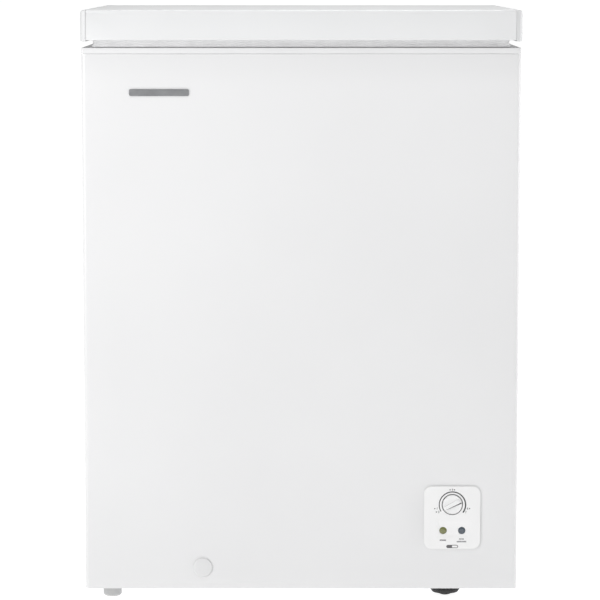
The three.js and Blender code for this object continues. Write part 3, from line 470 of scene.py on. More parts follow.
def moulded(name, colour, roughness, grain=2.2e-6, grain_scale=1500, **sockets):
    """Moulded plastic: a fine spark-eroded grain and slightly uneven gloss."""
    f = Finish(name, colour, roughness, **sockets)
    f.shade(f.noise(12, 3), 1.015, 0.98)
    f.rough(f.noise(35, 4, 0.6), roughness - 0.05, roughness + 0.06)
    return f.bump(f.noise(grain_scale, 3, 0.6), grain).material


def rubber(name, colour, roughness, dust=1.06):
    """Rubber: matt, with a dusty bloom and a fine skin."""
    f = Finish(name, colour, roughness, Sheen_Weight=0.15, Sheen_Roughness=0.5)
    f.shade(f.noise(60, 5, 0.65), dust, 0.95)
    return f.bump(f.noise(900, 3, 0.6), 6e-6).material


def zinc(name, colour, roughness):
    """Galvanised sheet: crystal spangle in colour and gloss, with fine rolling lines."""
    f = Finish(name, colour, roughness, metallic=1.0)
    crystals = f.cells(95, stretch=(1, 1, 0.8), output="Color")
    tone = f.add("ShaderNodeSeparateColor", {"Color": crystals}).outputs["Red"]
    f.shade(tone, 1.06, 0.86, 0.0, 1.0)
    f.rough(tone, roughness - 0.08, roughness + 0.12, 0.0, 1.0)
    f.bump(f.noise(600, 3, 0.6, stretch=(0.15, 1, 1)), 6e-6)
    return f.bump(f.noise(14, 3), 8e-5).material


def polished(name, colour, roughness, stretch=(1, 1, 1), depth=4e-6, scale=900):
    """Bare worked metal: fine lines along one direction, and patches of duller surface."""
    f = Finish(name, colour, roughness, metallic=1.0)
    f.shade(f.noise(40, 4, 0.6), 1.05, 0.84)
    f.rough(f.noise(70, 4, 0.6), roughness - 0.06, roughness + 0.14)
    return f.bump(f.noise(scale, 3, 0.6, stretch=stretch), depth).material


def stucco(name, colour, roughness):
    """Embossed aluminium sheet: rounded raised grains between fine valleys, 4 mm apart."""
    f = Finish(name, colour, roughness, metallic=0.85)
    f.shade(f.noise(6, 3), 1.02, 0.95)
    f.rough(f.noise(50, 4), roughness - 0.05, roughness + 0.08)
    grains = f.add("ShaderNodeTexVoronoi", {"Vector": f.place((1, 1, 0.7))},
                   {"Scale": 240, "Randomness": 0.9, "Smoothness": 0.6},
                   feature="SMOOTH_F1").outputs["Distance"]
    f.bump(f.between(grains, 1.0, 0.0, 0.0, 0.7), 1.2e-4)
    return f.bump(f.noise(1500, 2), 5e-6).material


def foamed(name, colour):
    """Poured polyurethane foam: small open cells in a matt crust."""
    f = Finish(name, colour, 0.95)
    f.shade(f.noise(30, 5, 0.6), 1.06, 0.86)
    f.bump(f.cells(900), 2.5e-4)
    return f.bump(f.noise(60, 4), 6e-4).material


def lens(name, colour, glow, strength):
    """A tinted lamp window: glossy, deep-coloured, with fine prisms and a faint light behind it."""
    f = Finish(name, colour, 0.12, IOR=1.5, Coat_Weight=0.6, Coat_Roughness=0.05)
    f.set(f.shader, {"Emission Color": (*glow, 1.0), "Emission Strength": strength})
    f.shade(f.noise(500, 2), 1.25, 0.7)
    return f.bump(f.cells(1400, randomness=0.2), 4e-5).material


def ink(name, colour):
    """Printed ink, also used for painted shadow: matt, with a slightly uneven film."""
    f = Finish(name, colour, 0.6)
    f.shade(f.noise(400, 3), 1.15, 0.85)
    return f.bump(f.noise(2000, 2), 1e-6).material


LOOKS = {}


def look(slot):
    """The finish of one of the record's material slots, made when it is first asked for."""
    if slot not in LOOKS:
        colours = bpy.context.scene.freezer_colours
        sizes = bpy.context.scene.freezer_sizes
        makers = {
            "white_enamel": lambda: painted("baked_enamel", colours.enamel, 0.36, sizes.orange_peel,
                                            Coat_Weight=0.15,
                                            Coat_Roughness=0.2),
            "lid_enamel": lambda: painted("lid_enamel", colours.lid, 0.36, sizes.orange_peel,
                                          Coat_Weight=0.15,
                                          Coat_Roughness=0.2),
            "white_plastic": lambda: moulded("white_moulding", colours.white_plastic, 0.42),
            "cap_plastic": lambda: moulded("cap_moulding", colours.caps, 0.42),
            "panel_plastic": lambda: moulded("panel_moulding", colours.panel, 0.38, grain=1.5e-6),
            "grey_plastic": lambda: moulded("grey_moulding", colours.grey_plastic, 0.45),
            "black_plastic": lambda: moulded("black_moulding", colours.black, 0.5, grain=4e-6,
                                             grain_scale=1100),
            "black_enamel": lambda: painted("black_enamel", (0.012, 0.012, 0.013), 0.32, 1.2e-5),
            "gasket_rubber": lambda: rubber("gasket_vinyl", colours.gasket, 0.55),
            "black_rubber": lambda: rubber("black_rubber", (0.018, 0.018, 0.019), 0.75, 1.5),
            "embossed_aluminium": lambda: stucco("embossed_aluminium", (0.74, 0.75, 0.76), 0.46),
            "zinc_steel": lambda: zinc("galvanised_sheet", (0.62, 0.64, 0.66), 0.38),
            "spring_steel": lambda: polished("spring_steel", (0.42, 0.43, 0.45), 0.3),
            "copper": lambda: polished("drawn_copper", (0.72, 0.36, 0.22), 0.28),
            "foam": lambda: foamed("insulating_foam", (0.78, 0.66, 0.38)),
            "badge_metal": lambda: polished("brushed_badge", colours.badge, 0.34, (0.04, 1, 1), 1.2e-5, 1500),
            "green_lens": lambda: lens("green_lens", (0.115, 0.12, 0.055), (0.55, 0.62, 0.08), 0.1),
            "blue_lens": lambda: lens("blue_lens", (0.055, 0.068, 0.082), (0.15, 0.3, 0.5), 0.04),
            "basket_wire": lambda: moulded("coated_wire", (0.82, 0.82, 0.82), 0.35, grain=8e-6,
                                           grain_scale=500),
        }
        LOOKS[slot] = makers[slot]()
    return LOOKS[slot]


def arc(centre, radius, start, end, steps=6):
    """Points of an arc in degrees."""
    t = np.radians(np.linspace(start, end, steps + 1))
    return np.stack([centre[0] + radius * np.cos(t), centre[1] + radius * np.sin(t)], axis=1)


# ---------------------------------------------------------------- cabinet
class FREEZER_OT_wrapper(bpy.types.Operator):
    """Enamelled steel sheet bent round the front and both sides"""

    bl_idname = "freezer.wrapper"
    bl_label = "Cabinet wrapper"

    def execute(self, context):
        sizes = context.scene.freezer_sizes
        c, panel, grille = cad("outer_wrapper"), cad("control_panel"), cad("side_vent_grille")
        drain, cap = cad("drain_tube"), cad("drain_cap")
        r, rear, sheet, lap = sizes.corner / MM, 3.0, sizes.sheet / MM, 5.5
        hole = (drain.x1 - drain.x0) / 2 + 1
        window = (panel.x0 + lap, panel.x1 - lap, panel.z0 + lap, panel.z1 - lap)
        vent = (grille.y0 + 6, grille.y1 - 6, grille.z0 + 6, grille.z1 - 6)
        front = lines([c.x0 + r, c.x1 - r], window[:2], across(cap.cx, hole, 13), step=45)
        side = lines([c.y0 + r, c.y1 - rear], vent[:2], step=45)
        z = lines([c.z0, c.z1], window[2:], vent[2:], across(cap.cz, hole, 13), step=45)
        fold = 15
        path = np.concatenate([
            [(c.x0 + fold, c.y1)], arc((c.x0 + rear, c.y1 - rear), rear, 90, 180),
            np.stack([np.full(len(side), c.x0), side[::-1]], 1), arc((c.x0 + r, c.y0 + r), r, 180, 270, 8),
            np.stack([front, np.full(len(front), c.y0)], 1), arc((c.x1 - r, c.y0 + r), r, 270, 360, 8),
            np.stack([np.full(len(side), c.x1), side], 1), arc((c.x1 - rear, c.y1 - rear), rear, 0, 90),
            [(c.x1 - fold, c.y1)],
        ])
        x, y = np.repeat(path[:, :1], len(z), 1), np.repeat(path[:, 1:], len(z), 1)
        level = np.repeat(z[None, :], len(path), 0)
        on_front = y < c.y0 + 1e-6
        moved_x, moved_z = round_hole(x, level, (cap.cx, cap.cz), hole, 13)
        x, moved = np.where(on_front, moved_x, x), np.where(on_front, moved_z, level)
        middle, mid_z = (path[:-1] + path[1:]) / 2, ((z[:-1] + z[1:]) / 2)[None, :]
        is_front, is_right = middle[:, 1] < c.y0 + 1e-6, middle[:, 0] > c.x1 - 1e-6
        def gap(on, place, a0, a1, z0, z1):
            return (on & (place > a0) & (place < a1))[:, None] & (mid_z > z0) & (mid_z < z1)
        cut = gap(is_front, middle[:, 0], *window) | gap(is_right, middle[:, 1], *vent)
        cut |= gap(is_front, middle[:, 0], cap.cx - hole, cap.cx + hole, cap.cz - hole, cap.cz + hole)
        faces = quads(len(path), len(z))[~cut.ravel()][:, ::-1]
        surface = shell(np.stack([x, y, moved], -1), faces)
        piece("cabinet_wrapper", surface, look("white_enamel"), "cabinet", ["outer_wrapper"],
              wall=sheet, bevel=0.2, segments=2, facing_out=False)
        return {"FINISHED"}


class FREEZER_OT_rear_panel(bpy.types.Operator):
    """Galvanised rear sheet with pressed stiffening fields, and its screws"""

    bl_idname = "freezer.rear_panel"
    bl_label = "Rear panel"

    def execute(self, context):
        sizes = context.scene.freezer_sizes
        c, bay, cover = cad("rear_panel"), cad("compartment_bulkhead"), cad("rear_vent_cover")
        left, ceiling = bay.x0 - 1, bay.z1 + 1
        x = lines([c.x0, left, c.x1], step=4)
        z = lines([c.z0, ceiling, c.z1], step=4)
        grid_x, grid_z, faces = flat_grid(x, z, [(left, c.x1 + 1, c.z0 - 1, ceiling)])
        def field(x0, x1, z0, z1):
            """A pressed field: full height inside, falling to nothing over a soft slope at its edge."""
            inside = np.minimum(np.minimum(grid_x - x0, x1 - grid_x), np.minimum(grid_z - z0, z1 - grid_z))
            s = np.clip(inside / 8, 0, 1)
            return s * s * (3 - 2 * s)
        height = sizes.pressing / MM
        relief = height * (field(-285, -20, 275, 665) + field(20, 285, 275, 665) + field(-285, left - 25,
                                                                                         45, 225))
        relief -= height * (field(-255, -50, 305, 635) + field(50, 255, 305, 635) + field(-255, left - 55,
                                                                                          75, 195))
        surface = shell(np.stack([grid_x, c.y1 + relief, grid_z], -1), faces)
        piece("rear_sheet", surface, look("zinc_steel"), "cabinet",
              ["rear_panel"], wall=c.y1 - c.y0, facing_out=False)
        head = screw(3.6, 2.0)
        wrapper = cad("outer_wrapper")
        edge = [(sx * 300, z0) for sx in (-1, 1) for z0 in (120, 300, 480, 660,
                                                            776) if sx < 0 or z0 > ceiling]
        heads = [placed(head, (px, wrapper.y1, pz), "+y") for px, pz in edge]
        heads += [placed(head, (px, c.y1, pz), "+y") for px in (-140, 0, 140) for pz in (778,)]
        spots = [(px, pz) for px in (cover.x0 + 7, cover.x1 - 7) for pz in (cover.z0 + 8, 134, cover.z1 - 8)]
        heads += [placed(head, (px, cover.y1, pz), "+y") for px, pz in spots]
        piece("rear_screws", joined(*heads), look("spring_steel"), "cabinet")
        return {"FINISHED"}


class FREEZER_OT_sheet_parts(bpy.types.Operator):
    """Base pan, bulkhead, tray, rear cover and side grille, with their edges rounded"""

    bl_idname = "freezer.sheet_parts"
    bl_label = "Sheet parts and grilles"

    def execute(self, context):
        for node in ("base_pan", "compartment_bulkhead", "compressor_tray", "rear_vent_cover"):
            refined(node, look("zinc_steel"), bevel=0.15, segments=1)
        refined("side_vent_grille", look("white_plastic"), bevel=0.5, segments=3)
        return {"FINISHED"}


class FREEZER_OT_insulation(bpy.types.Operator):
    """Foam bodies of the cabinet and the lid"""

    bl_idname = "freezer.insulation"
    bl_label = "Insulation"

    def execute(self, context):
        for node in ("insulation_foam", "lid_foam"):
            refined(node, look("foam"), bevel=0, suffix="body")
        return {"FINISHED"}


def tank_profile(c, step_x, step_z, inset, radius):
    """The tank's section in x and z, drawn in by an inset: down the left wall, along the floor, up the
    riser, along the step and up the right wall. Hollow corners tighten with the inset and the step's
    outer corner widens."""
    hollow = max(radius - inset, 0.6)
    points = [(c.x0 + inset, c.z1), (c.x0 + inset, c.z0 + inset), (step_x - inset, c.z0 + inset),
              (step_x - inset, step_z + inset), (c.x1 - inset, step_z + inset), (c.x1 - inset, c.z1)]
    return filleted(points, [0, hollow, hollow, radius * 0.6 + inset, hollow, 0], 6, closed=False)


class FREEZER_OT_tank(bpy.types.Operator):
    """Stepped tank of embossed aluminium, with soft corners"""

    bl_idname = "freezer.tank"
    bl_label = "Tank"

    def execute(self, context):
        sizes = context.scene.freezer_sizes
        c, bay, plug = cad("inner_liner"), cad("compartment_bulkhead"), cad("tank_drain_plug")
        wall, corner = 0.9, sizes.tank_corner / MM
        inner = SimpleNamespace(x0=c.x0 + wall, x1=c.x1 - wall, y0=c.y0 + wall, y1=c.y1 - wall,
                                z0=c.z0 + wall, z1=c.z1)
        step_x, step_z = bay.x0 - 50, bay.z1 + 45
        turn = np.radians(np.linspace(0, 90, 8))
        inset, reach = corner * (1 - np.sin(turn)), corner * (1 - np.cos(turn))
        stations = [(inner.y0 + r, i) for r, i in zip(reach, inset)]
        stations += [(inner.y1 - r, i) for r, i in zip(reach[::-1], inset[::-1])]
        rows = np.stack([at(tank_profile(inner, step_x, step_z, i, corner * 0.75), y, "y")
                         for y, i in stations])
        count = rows.shape[1]
        ends = [range(count), range((len(rows) - 1) * count, len(rows) * count)]
        surface = shell(rows, quads(len(rows), count), ends)
        tank = piece("tank_liner", surface, look("embossed_aluminium"), "cabinet", ["inner_liner"],
                     smooth=40)
        add_wall(tank, wall)
        dish = soft_profile([(5.4, 0.05), (6.2, 0.05), (9, 0.4), (13.6, 0.4), (14.4, 0.02)],
                            [0, 0.4, 0.6, 0.6, 0])
        piece("drain_seat", placed(lathe(dish, 48), (plug.cx, plug.cy, inner.z0), "+z"), look("grey_plastic"),
              "cabinet", wall=0.02)
        return {"FINISHED"}


def add_wall(obj, wall, side=1):
    """Thickness given to one side of a sheet: 1 is the side its faces look to, and -1 is the other."""
    solid = obj.modifiers.new("wall", "SOLIDIFY")
    solid.thickness, solid.offset = wall * MM, side


class FREEZER_OT_top_frame(bpy.types.Operator):
    """Moulded frame round the mouth of the tank, with the ledges that the basket hangs on"""

    bl_idname = "freezer.top_frame"
    bl_label = "Top frame"

    def execute(self, context):
        c, tank = cad("top_frame"), cad("inner_liner")
        wall, wide, corner = 2.4, 8.0, 18.0
        half, front, back = tank.x1 - 0.9, tank.y0 + 0.9, tank.y1 - 0.9
        ledge = c.z0 + 2
        def mouth(grow, z):
            x, low, high = half + grow + 0.3, front - wide - grow, back + wide + grow
            return at(rectangle(-x, x, low, high, corner + grow, 8), z)
        def outside(draw, z, radius):
            return at(rectangle(c.x0 + draw, c.x1 - draw, c.y0 + draw, c.y1 - draw, radius, 8), z)
        opening = rectangle(-half, half, front, back, corner, 8)
        skirt, tongue = c.z1 - 7.7, 1.35
        rings = [at(opening, c.z0), at(opening, ledge), mouth(0, ledge), mouth(0, c.z1), outside(0, c.z1, 3),
                 outside(0, skirt, 3), outside(tongue, skirt, 2.4), outside(tongue, skirt - 4, 2.4),
                 outside(wall, skirt - 4, 2), outside(wall, c.z1 - wall, 2),
                 mouth(wall, c.z1 - wall), mouth(wall, c.z0)]
        piece("mouth_frame", loft(rings, wrap=True), look("white_plastic"), "cabinet", ["top_frame"],
              bevel=0.9, segments=3, smooth=40)
        return {"FINISHED"}


class FREEZER_OT_badge(bpy.types.Operator):
    """Plain brushed badge plate with a raised border"""

    bl_idname = "freezer.badge"
    bl_label = "Badge plate"

    def execute(self, context):
        c = cad("badge_plate")
        def outline(draw, y):
            edge = rectangle(c.x0 + draw, c.x1 - draw, c.z0 + draw, c.z1 - draw, 2.5 - draw * 0.8, 8)
            return at(edge, y, "y")
        rings = [outline(0, c.y1), outline(0, c.y0 + 0.4), outline(0.35, c.y0), outline(1.1, c.y0),
                 outline(1.35, c.y0 + 0.3)]
        piece("badge", loft(rings), look("badge_metal"), "cabinet", ["badge_plate"], smooth=25)
        return {"FINISHED"}


# ---------------------------------------------------------------- controls
def printed(outline, y, film=0.05):
    """A flat printed shape: its outline in x and z, standing one ink film proud of the face at y."""
    return loft([at(outline, y + 0.02, "y"), at(outline, y - film, "y")])


def digits(text, centre, size, y, film=0.05):
    """Plain figures as a thin solid standing one ink film proud of the face at y."""
    curve = bpy.data.curves.new("figure", "FONT")
    curve.body, curve.size, curve.extrude = text, size, film / 2
    curve.align_x, curve.align_y = "CENTER", "CENTER"
    holder = bpy.data.objects.new("figure", curve)
    bpy.context.scene.collection.objects.link(holder)
    bpy.context.view_layer.update()
    mesh = bpy.data.meshes.new_from_object(holder.evaluated_get(bpy.context.evaluated_depsgraph_get()))
    bpy.data.objects.remove(holder)
    flat = np.zeros(len(mesh.vertices) * 3)
    mesh.vertices.foreach_get("co", flat)
    faces = [list(polygon.vertices) for polygon in mesh.polygons]
    bpy.data.meshes.remove(mesh)
    return placed((flat.reshape(-1, 3), faces), (centre[0], y - film / 2, centre[1]), "-y")


class FREEZER_OT_control_panel(bpy.types.Operator):
    """Control panel with its dial cup, lamp recess and printed scale"""

    bl_idname = "freezer.control_panel"
    bl_label = "Control panel"

    def execute(self, context):
        sizes = context.scene.freezer_sizes
        c, knob = cad("control_panel"), cad("thermostat_knob")
        lamps = [cad("power_lamp_lens"), cad("freeze_lamp_lens")]
        thick, corner, well = 1.7, 11.0, (knob.x1 - knob.x0) / 2 + 0.6
        lamp, easing = 5.3, 7.5
        dial = (knob.cx, knob.cz + sizes.dial_drop / MM)
        tray = (c.x0 + 20.9, c.x0 + 63.3, c.z0 + 17.4, c.z0 + 38.8)
        x = lines([c.x0, c.x0 + corner, c.x1 - corner, c.x1], across(dial[0], well, well + 3, 24),
                  *[across(l.cx, lamp, easing, 12) for l in lamps], tray[:2], step=2.5)
        z = lines([c.z0, c.z0 + corner, c.z1 - corner, c.z1], across(dial[1], well, well + 3, 24),
                  across(lamps[0].cz, lamp, easing, 12), tray[2:], step=2.5)
        def square(x, z, r):
            return x - r, x + r, z - r, z + r
        holes = [square(*dial, well), *[square(l.cx, l.cz, lamp) for l in lamps]]
        grid_x, grid_z, faces = flat_grid(x, z, holes)
        reach = np.minimum(np.minimum(grid_x - tray[0], tray[1] - grid_x),
                           np.minimum(grid_z - tray[2], tray[3] - grid_z))
        sunk = sizes.lamp_recess / MM * np.clip(reach / 0.7 + 0.5, 0, 1)
        grid_x, grid_z = round_hole(grid_x, grid_z, dial, well, well + 3)
        for l in lamps:
            grid_x, grid_z = round_hole(grid_x, grid_z, (l.cx, l.cz), lamp, easing)
        grid_x, grid_z = round_corners(grid_x, grid_z, c.x0, c.x1, c.z0, c.z1, corner)
        plate = shell(np.stack([grid_x, c.y0 + sunk, grid_z], -1), faces[:, ::-1])
        piece("panel_face", plate, look("panel_plastic"), "cabinet", ["control_panel"],
              wall=thick, bevel=0.35, segments=3, facing_out=False)
        depth = c.y1 - c.y0
        cup = [(well, thick + 0.05), (well, depth - 1.6), (well - 1.5, depth - 1.4), (5.4, depth - 1.4),
               (4.2, depth - 1.4), (4.2, depth), (well + 1.4, depth), (well + 1.4, thick + 0.05)]
        cup = [(r, -h) for r, h in cup]
        piece("dial_cup", placed(lathe(cup, 96, closed=True), (dial[0], c.y0, dial[1]), "-y"),
              look("panel_plastic"), "cabinet")
        inset = 6.5
        def box_ring(draw, y):
            return at(rectangle(c.x0 + draw, c.x1 - draw, c.z0 + draw, c.z1 - draw, 3, 4), y, "y")
        flange = [box_ring(inset, c.y0 + thick), box_ring(inset, c.y1 - 1.5),
                  box_ring(inset + 1.6, c.y1 - 1.5), box_ring(inset + 1.6, c.y0 + thick)]
        piece("panel_flange", loft(flange, wrap=True), look("panel_plastic"), "cabinet")
        self.scale(c, knob, lamps)
        return {"FINISHED"}

    def scale(self, c, knob, lamps):
        """The dial's printed band, which thickens clockwise, its figures, and the marks by the lamps."""
        centre = np.array([knob.cx, knob.cz])
        t = np.linspace(0, 1, 97)
        angle = np.radians(210 - 246 * t)
        way = np.stack([np.cos(angle), np.sin(angle)], 1)
        middle, half = 18.9, 0.65 + 0.35 * t
        outer, inner = centre + way * (middle + half)[:, None], centre + way * (middle - half)[:, None]
        marks = [printed(np.concatenate([outer, inner[::-1]]), c.y0)]
        figures = [("4", 0, 22.0), ("1", -21.9, -5.4), ("0", -19.6, -10.4), ("6", 21.9, -5.4),
                   ("7", 19.2, -10.8)]
        marks += [digits(text, (knob.cx + x, knob.cz + z), 4.8, c.y0) for text, x, z in figures]
        bars = [(-3.2, 22.0), (3.2, 22.0), (-25.0, -5.4), (-22.8, -10.4), (25.0, -5.4)]
        marks += [self.word(knob.cx + x, knob.cz + z, 2.0, 1.7, c.y0) for x, z in bars]
        piece("dial_print", joined(*marks), ink("dark_ink", DARK_INK), "cabinet")
        left, right = lamps
        small = [self.word(left.cx, left.cz - 14.0, 9.4, 2.1, c.y0),
                 self.word(right.cx, right.cz - 12.3, 7.0, 1.8, c.y0),
                 self.word(right.cx, right.cz - 16.1, 14.0, 2.1, c.y0)]
        pill, height, middle = 8.5, 2.35, (knob.cx, c.z0 + 3.4)
        x, z, inner = *middle, height - 0.95
        edge = rectangle(x - pill, x + pill, z - height, z + height, height, 8)
        hollow = rectangle(x - 0.2, x + pill - 1.3, z - inner, z + inner, 0.5, 8)
        small.append(printed(edge, c.y0))
        piece("lamp_print", joined(*small), ink("grey_print_and_shadow_ink", GREY_PRINT_AND_SHADOW_INK), "cabinet")
        piece("pill_window", printed(hollow, c.y0 - 0.05, 0.03), look("panel_plastic"), "cabinet")

    def word(self, x, z, width, height, y):
        """A row of short printed bars that stands where a label would be."""
        count = max(1, round(width / 1.7))
        starts = np.linspace(x - width / 2, x + width / 2, count, endpoint=False)
        bar = width / count * 0.72
        low, high = z - height / 2, z + height / 2
        return joined(*[printed(rectangle(a, a + bar, low, high, 0.2, 2), y) for a in starts])


class FREEZER_OT_knob(bpy.types.Operator):
    """Thermostat knob with a finger rib, a serrated edge and a hollow back, a painted shadow strip under the
    rib, and the shaft it turns
    """

    bl_idname = "freezer.knob"
    bl_label = "Thermostat knob"

    def execute(self, context):
        sizes = context.scene.freezer_sizes
        c, shaft = cad("thermostat_knob"), cad("thermostat_shaft")
        r, face, back = (c.x1 - c.x0) / 2 - 0.6, c.y0 + 1.7, c.y1
        depth = back - face
        dish = sizes.knob_dish / MM
        outline = [(0, -dish), (r * 0.45, -dish * 0.8), (r - 1.6, 0), (r, 0), (r, -depth), (r - 1.6, -depth),
                   (r - 1.6, -2.4), (6, -2.4), (6, -depth), (3.3, -depth), (3.3, -2.4), (0, -2.4)]
        profile = soft_profile(outline, [0, 4, 1.0, 0.8, 0.3, 0.3, 0.3, 0.3, 0.3, 0.1, 0.1, 0], 4)
        def serrations(radius, z, t):
            grip = np.clip((radius - (r - 0.7)) / 0.4, 0, 1) * (z < -1.0)
            return -0.25 * grip * (0.5 - 0.5 * np.cos(60 * t))
        knob = placed(lathe(profile, 240, flutes=serrations), (c.cx, face, c.cz), "-y")
        t = np.linspace(0, 1, 25)
        along = (t - 0.5) * 2 * (r - 1.7)
        width = 2.6 + 0.8 * t
        width = width * np.sqrt(np.clip(1 - (2 * t - 1) ** 12, 0.02, 1))
        height = (face - c.y0) * np.sqrt(np.clip(1 - (2 * t - 1) ** 10, 0.02, 1))
        section = filleted([(-1, -0.6), (1, -0.6), (0.86, 1), (-0.86, 1)], 0.2, 4)
        rings = np.stack([
            along[:, None] * np.ones(len(section)), section[None, :, 0] * width[:, None],
            np.where(section[None, :, 1] > 0, section[None, :, 1] * height[:, None], section[None, :, 1]),
        ], axis=-1)
        points, faces = loft(rings)
        turn = math.radians(sizes.pointer)
        spin = np.array([(math.cos(turn), math.sin(turn), 0), (-math.sin(turn), math.cos(turn), 0),
                         (0, 0, 1)])
        rib = placed((points @ spin, faces), (c.cx, face, c.cz), "-y")
        piece("dial_knob", joined(knob, rib), look("panel_plastic"), "thermostat_dial", ["thermostat_knob"],
              smooth=38)
        # Painted shadow: a grey strip on the knob's face along the rib's low side, thin at one end and thick
        # at the other, standing in for the shadow the rib casts
        stroke = np.linspace(0, 1, 25)
        reach, edge, thick = -10.6 + 23.4 * stroke, -2.6 - 0.8 * t, 0.3 + 1.3 * stroke
        rib_shadow_outline = np.concatenate([np.stack([reach, edge + 0.3], 1), np.stack([reach, edge - thick], 1)[::-1]])
        rib_shadow = loft([at(rib_shadow_outline, 0.05), at(rib_shadow_outline, -0.02)])
        rib_shadow = placed((rib_shadow[0] @ spin, rib_shadow[1]), (c.cx, face, c.cz), "-y")
        piece("dial_rib_painted_shadow", rib_shadow, ink("grey_print_and_shadow_ink", GREY_PRINT_AND_SHADOW_INK), "thermostat_dial")
        length = shaft.y1 - shaft.y0
        stem = soft_profile([(0, 0), (3, 0), (3, -length), (0, -length)], [0, 0.4, 0.4, 0], 3)
        piece("dial_shaft", placed(lathe(stem, 32), (shaft.cx, shaft.y0, shaft.cz), "-y"),
              look("spring_steel"), "thermostat_dial", ["thermostat_shaft"])
        return {"FINISHED"}


class FREEZER_OT_lamps(bpy.types.Operator):
    """Lamp windows, the board behind them and the thermostat's body"""

    bl_idname = "freezer.lamps"
    bl_label = "Lamps and thermostat body"

    def execute(self, context):
        for node, slot in (("power_lamp_lens", "green_lens"), ("freeze_lamp_lens", "blue_lens")):
            c = cad(node)
            r, depth = 5.0, c.y1 - c.y0
            flange = (c.x1 - c.x0) / 2
            outline = [(0, 0), (r * 0.6, -0.12), (r, -0.9), (r, -depth + 1.5), (flange, -depth + 1.5),
                       (flange, -depth), (0, -depth)]
            dome = soft_profile(outline, [0, 3, 0.5, 0.1, 0.2, 0.2, 0], 5)
            window = placed(lathe(dome, 64), (c.cx, c.y0, c.cz), "-y")
            piece(f"{node}_window", window, look(slot), "cabinet", [node])
        refined("lamp_board", look("grey_plastic"), bevel=0.15)
        refined("thermostat_body", look("grey_plastic"), bevel=0.6, segments=3)
        return {"FINISHED"}


class FREEZER_OT_drain(bpy.types.Operator):
    """Drain tube, the cap on the front and the plug in the tank's floor"""

    bl_idname = "freezer.drain"
    bl_label = "Drain"

    def execute(self, context):
        c, tube_box, plug = cad("drain_cap"), cad("drain_tube"), cad("tank_drain_plug")
        r, depth = (c.x1 - c.x0) / 2, c.y1 - c.y0
        outline = [(0, 0), (r * 0.55, -0.1), (r - 1.1, -0.35), (r, -1.2), (r, -2.1), (5.0, -2.1),
                   (5.0, -4), (5.2, -4.6), (4.7, -6), (5.2, -8.6), (4.7, -10), (4.6, -depth), (0, -depth)]
        profile = soft_profile(outline, [0, 4, 0.8, 0.5, 0.3, 0.4, 0.3, 0.4, 0.4, 0.4, 0.4, 0.8, 0], 4)
        piece("drain_outlet_cap", placed(lathe(profile, 96), (c.cx, c.y0, c.cz), "-y"), look("white_plastic"),
              "drain_stopper", ["drain_cap"])
        outline = [(0, 9), (3.2, 9), (4.2, 8), (3.4, 3.2), (11.2, 2.1), (12, 0), (5, 0), (4.6, -2), (5.1, -4),
                   (4.6, -6), (5.1, -8), (4.4, -13), (3.6, -14), (0, -14)]
        profile = soft_profile(outline, [0, 1, 0.8, 1.2, 0.9, 0.3, 0.3, 0.4, 0.5, 0.4, 0.5, 1, 0.6, 0], 4)
        centre = (plug.cx, plug.cy, plug.z0 + 14)
        piece("floor_plug", placed(lathe(profile, 64), centre), look("black_rubber"), "tank_stopper",
              ["tank_drain_plug"])
        outer, bore = (tube_box.x1 - tube_box.x0) / 2 + 0.35, 5.5
        level = c.cz
        corners = [(plug.cx, plug.cy, tube_box.z1), (plug.cx, plug.cy, level), (plug.cx, tube_box.y0, level)]
        bend = filleted(corners, 14, 10, closed=False)
        skin, lining = (tube(bend, radius, 28, reference=(1, 0.001, 0.002))[0].reshape(len(bend), 28, 3)
                        for radius in (outer, bore))
        piece("drain_pipe", loft(np.concatenate([skin, lining[::-1]]), wrap=True), look("white_plastic"),
              "cabinet", ["drain_tube"])
        return {"FINISHED"}


# ---------------------------------------------------------------- feet
class FREEZER_OT_fixed_feet(bpy.types.Operator):
    """Three moulded feet with a screw in the recess below"""

    bl_idname = "freezer.fixed_feet"
    bl_label = "Fixed feet"

    def execute(self, context):
        for node in ("foot_front_left", "foot_rear_left", "foot_rear_right"):
            c = cad(node)
            r = (c.x1 - c.x0) / 2
            outline = [(0, 9), (5.2, 9), (5.6, 1.4), (6.4, 0), (r - 2.4, 0), (r, 2.6), (r, c.z1 - 2.2),
                       (r - 0.7, c.z1 - 1.9), (r - 0.7, c.z1), (0, c.z1)]
            profile = soft_profile(outline, [0, 0.4, 0.6, 0.5, 0.8, 1.6, 0.4, 0.2, 0.3, 0], 4)
            piece(f"{node}_moulding", placed(lathe(profile, 72), (c.cx, c.cy, 0)), look("grey_plastic"),
                  "cabinet", [node])
            piece(f"{node}_screw", placed(screw(4.4, 2.6), (c.cx, c.cy, 8.8), "-z"), look("spring_steel"),
                  "cabinet")
        return {"FINISHED"}


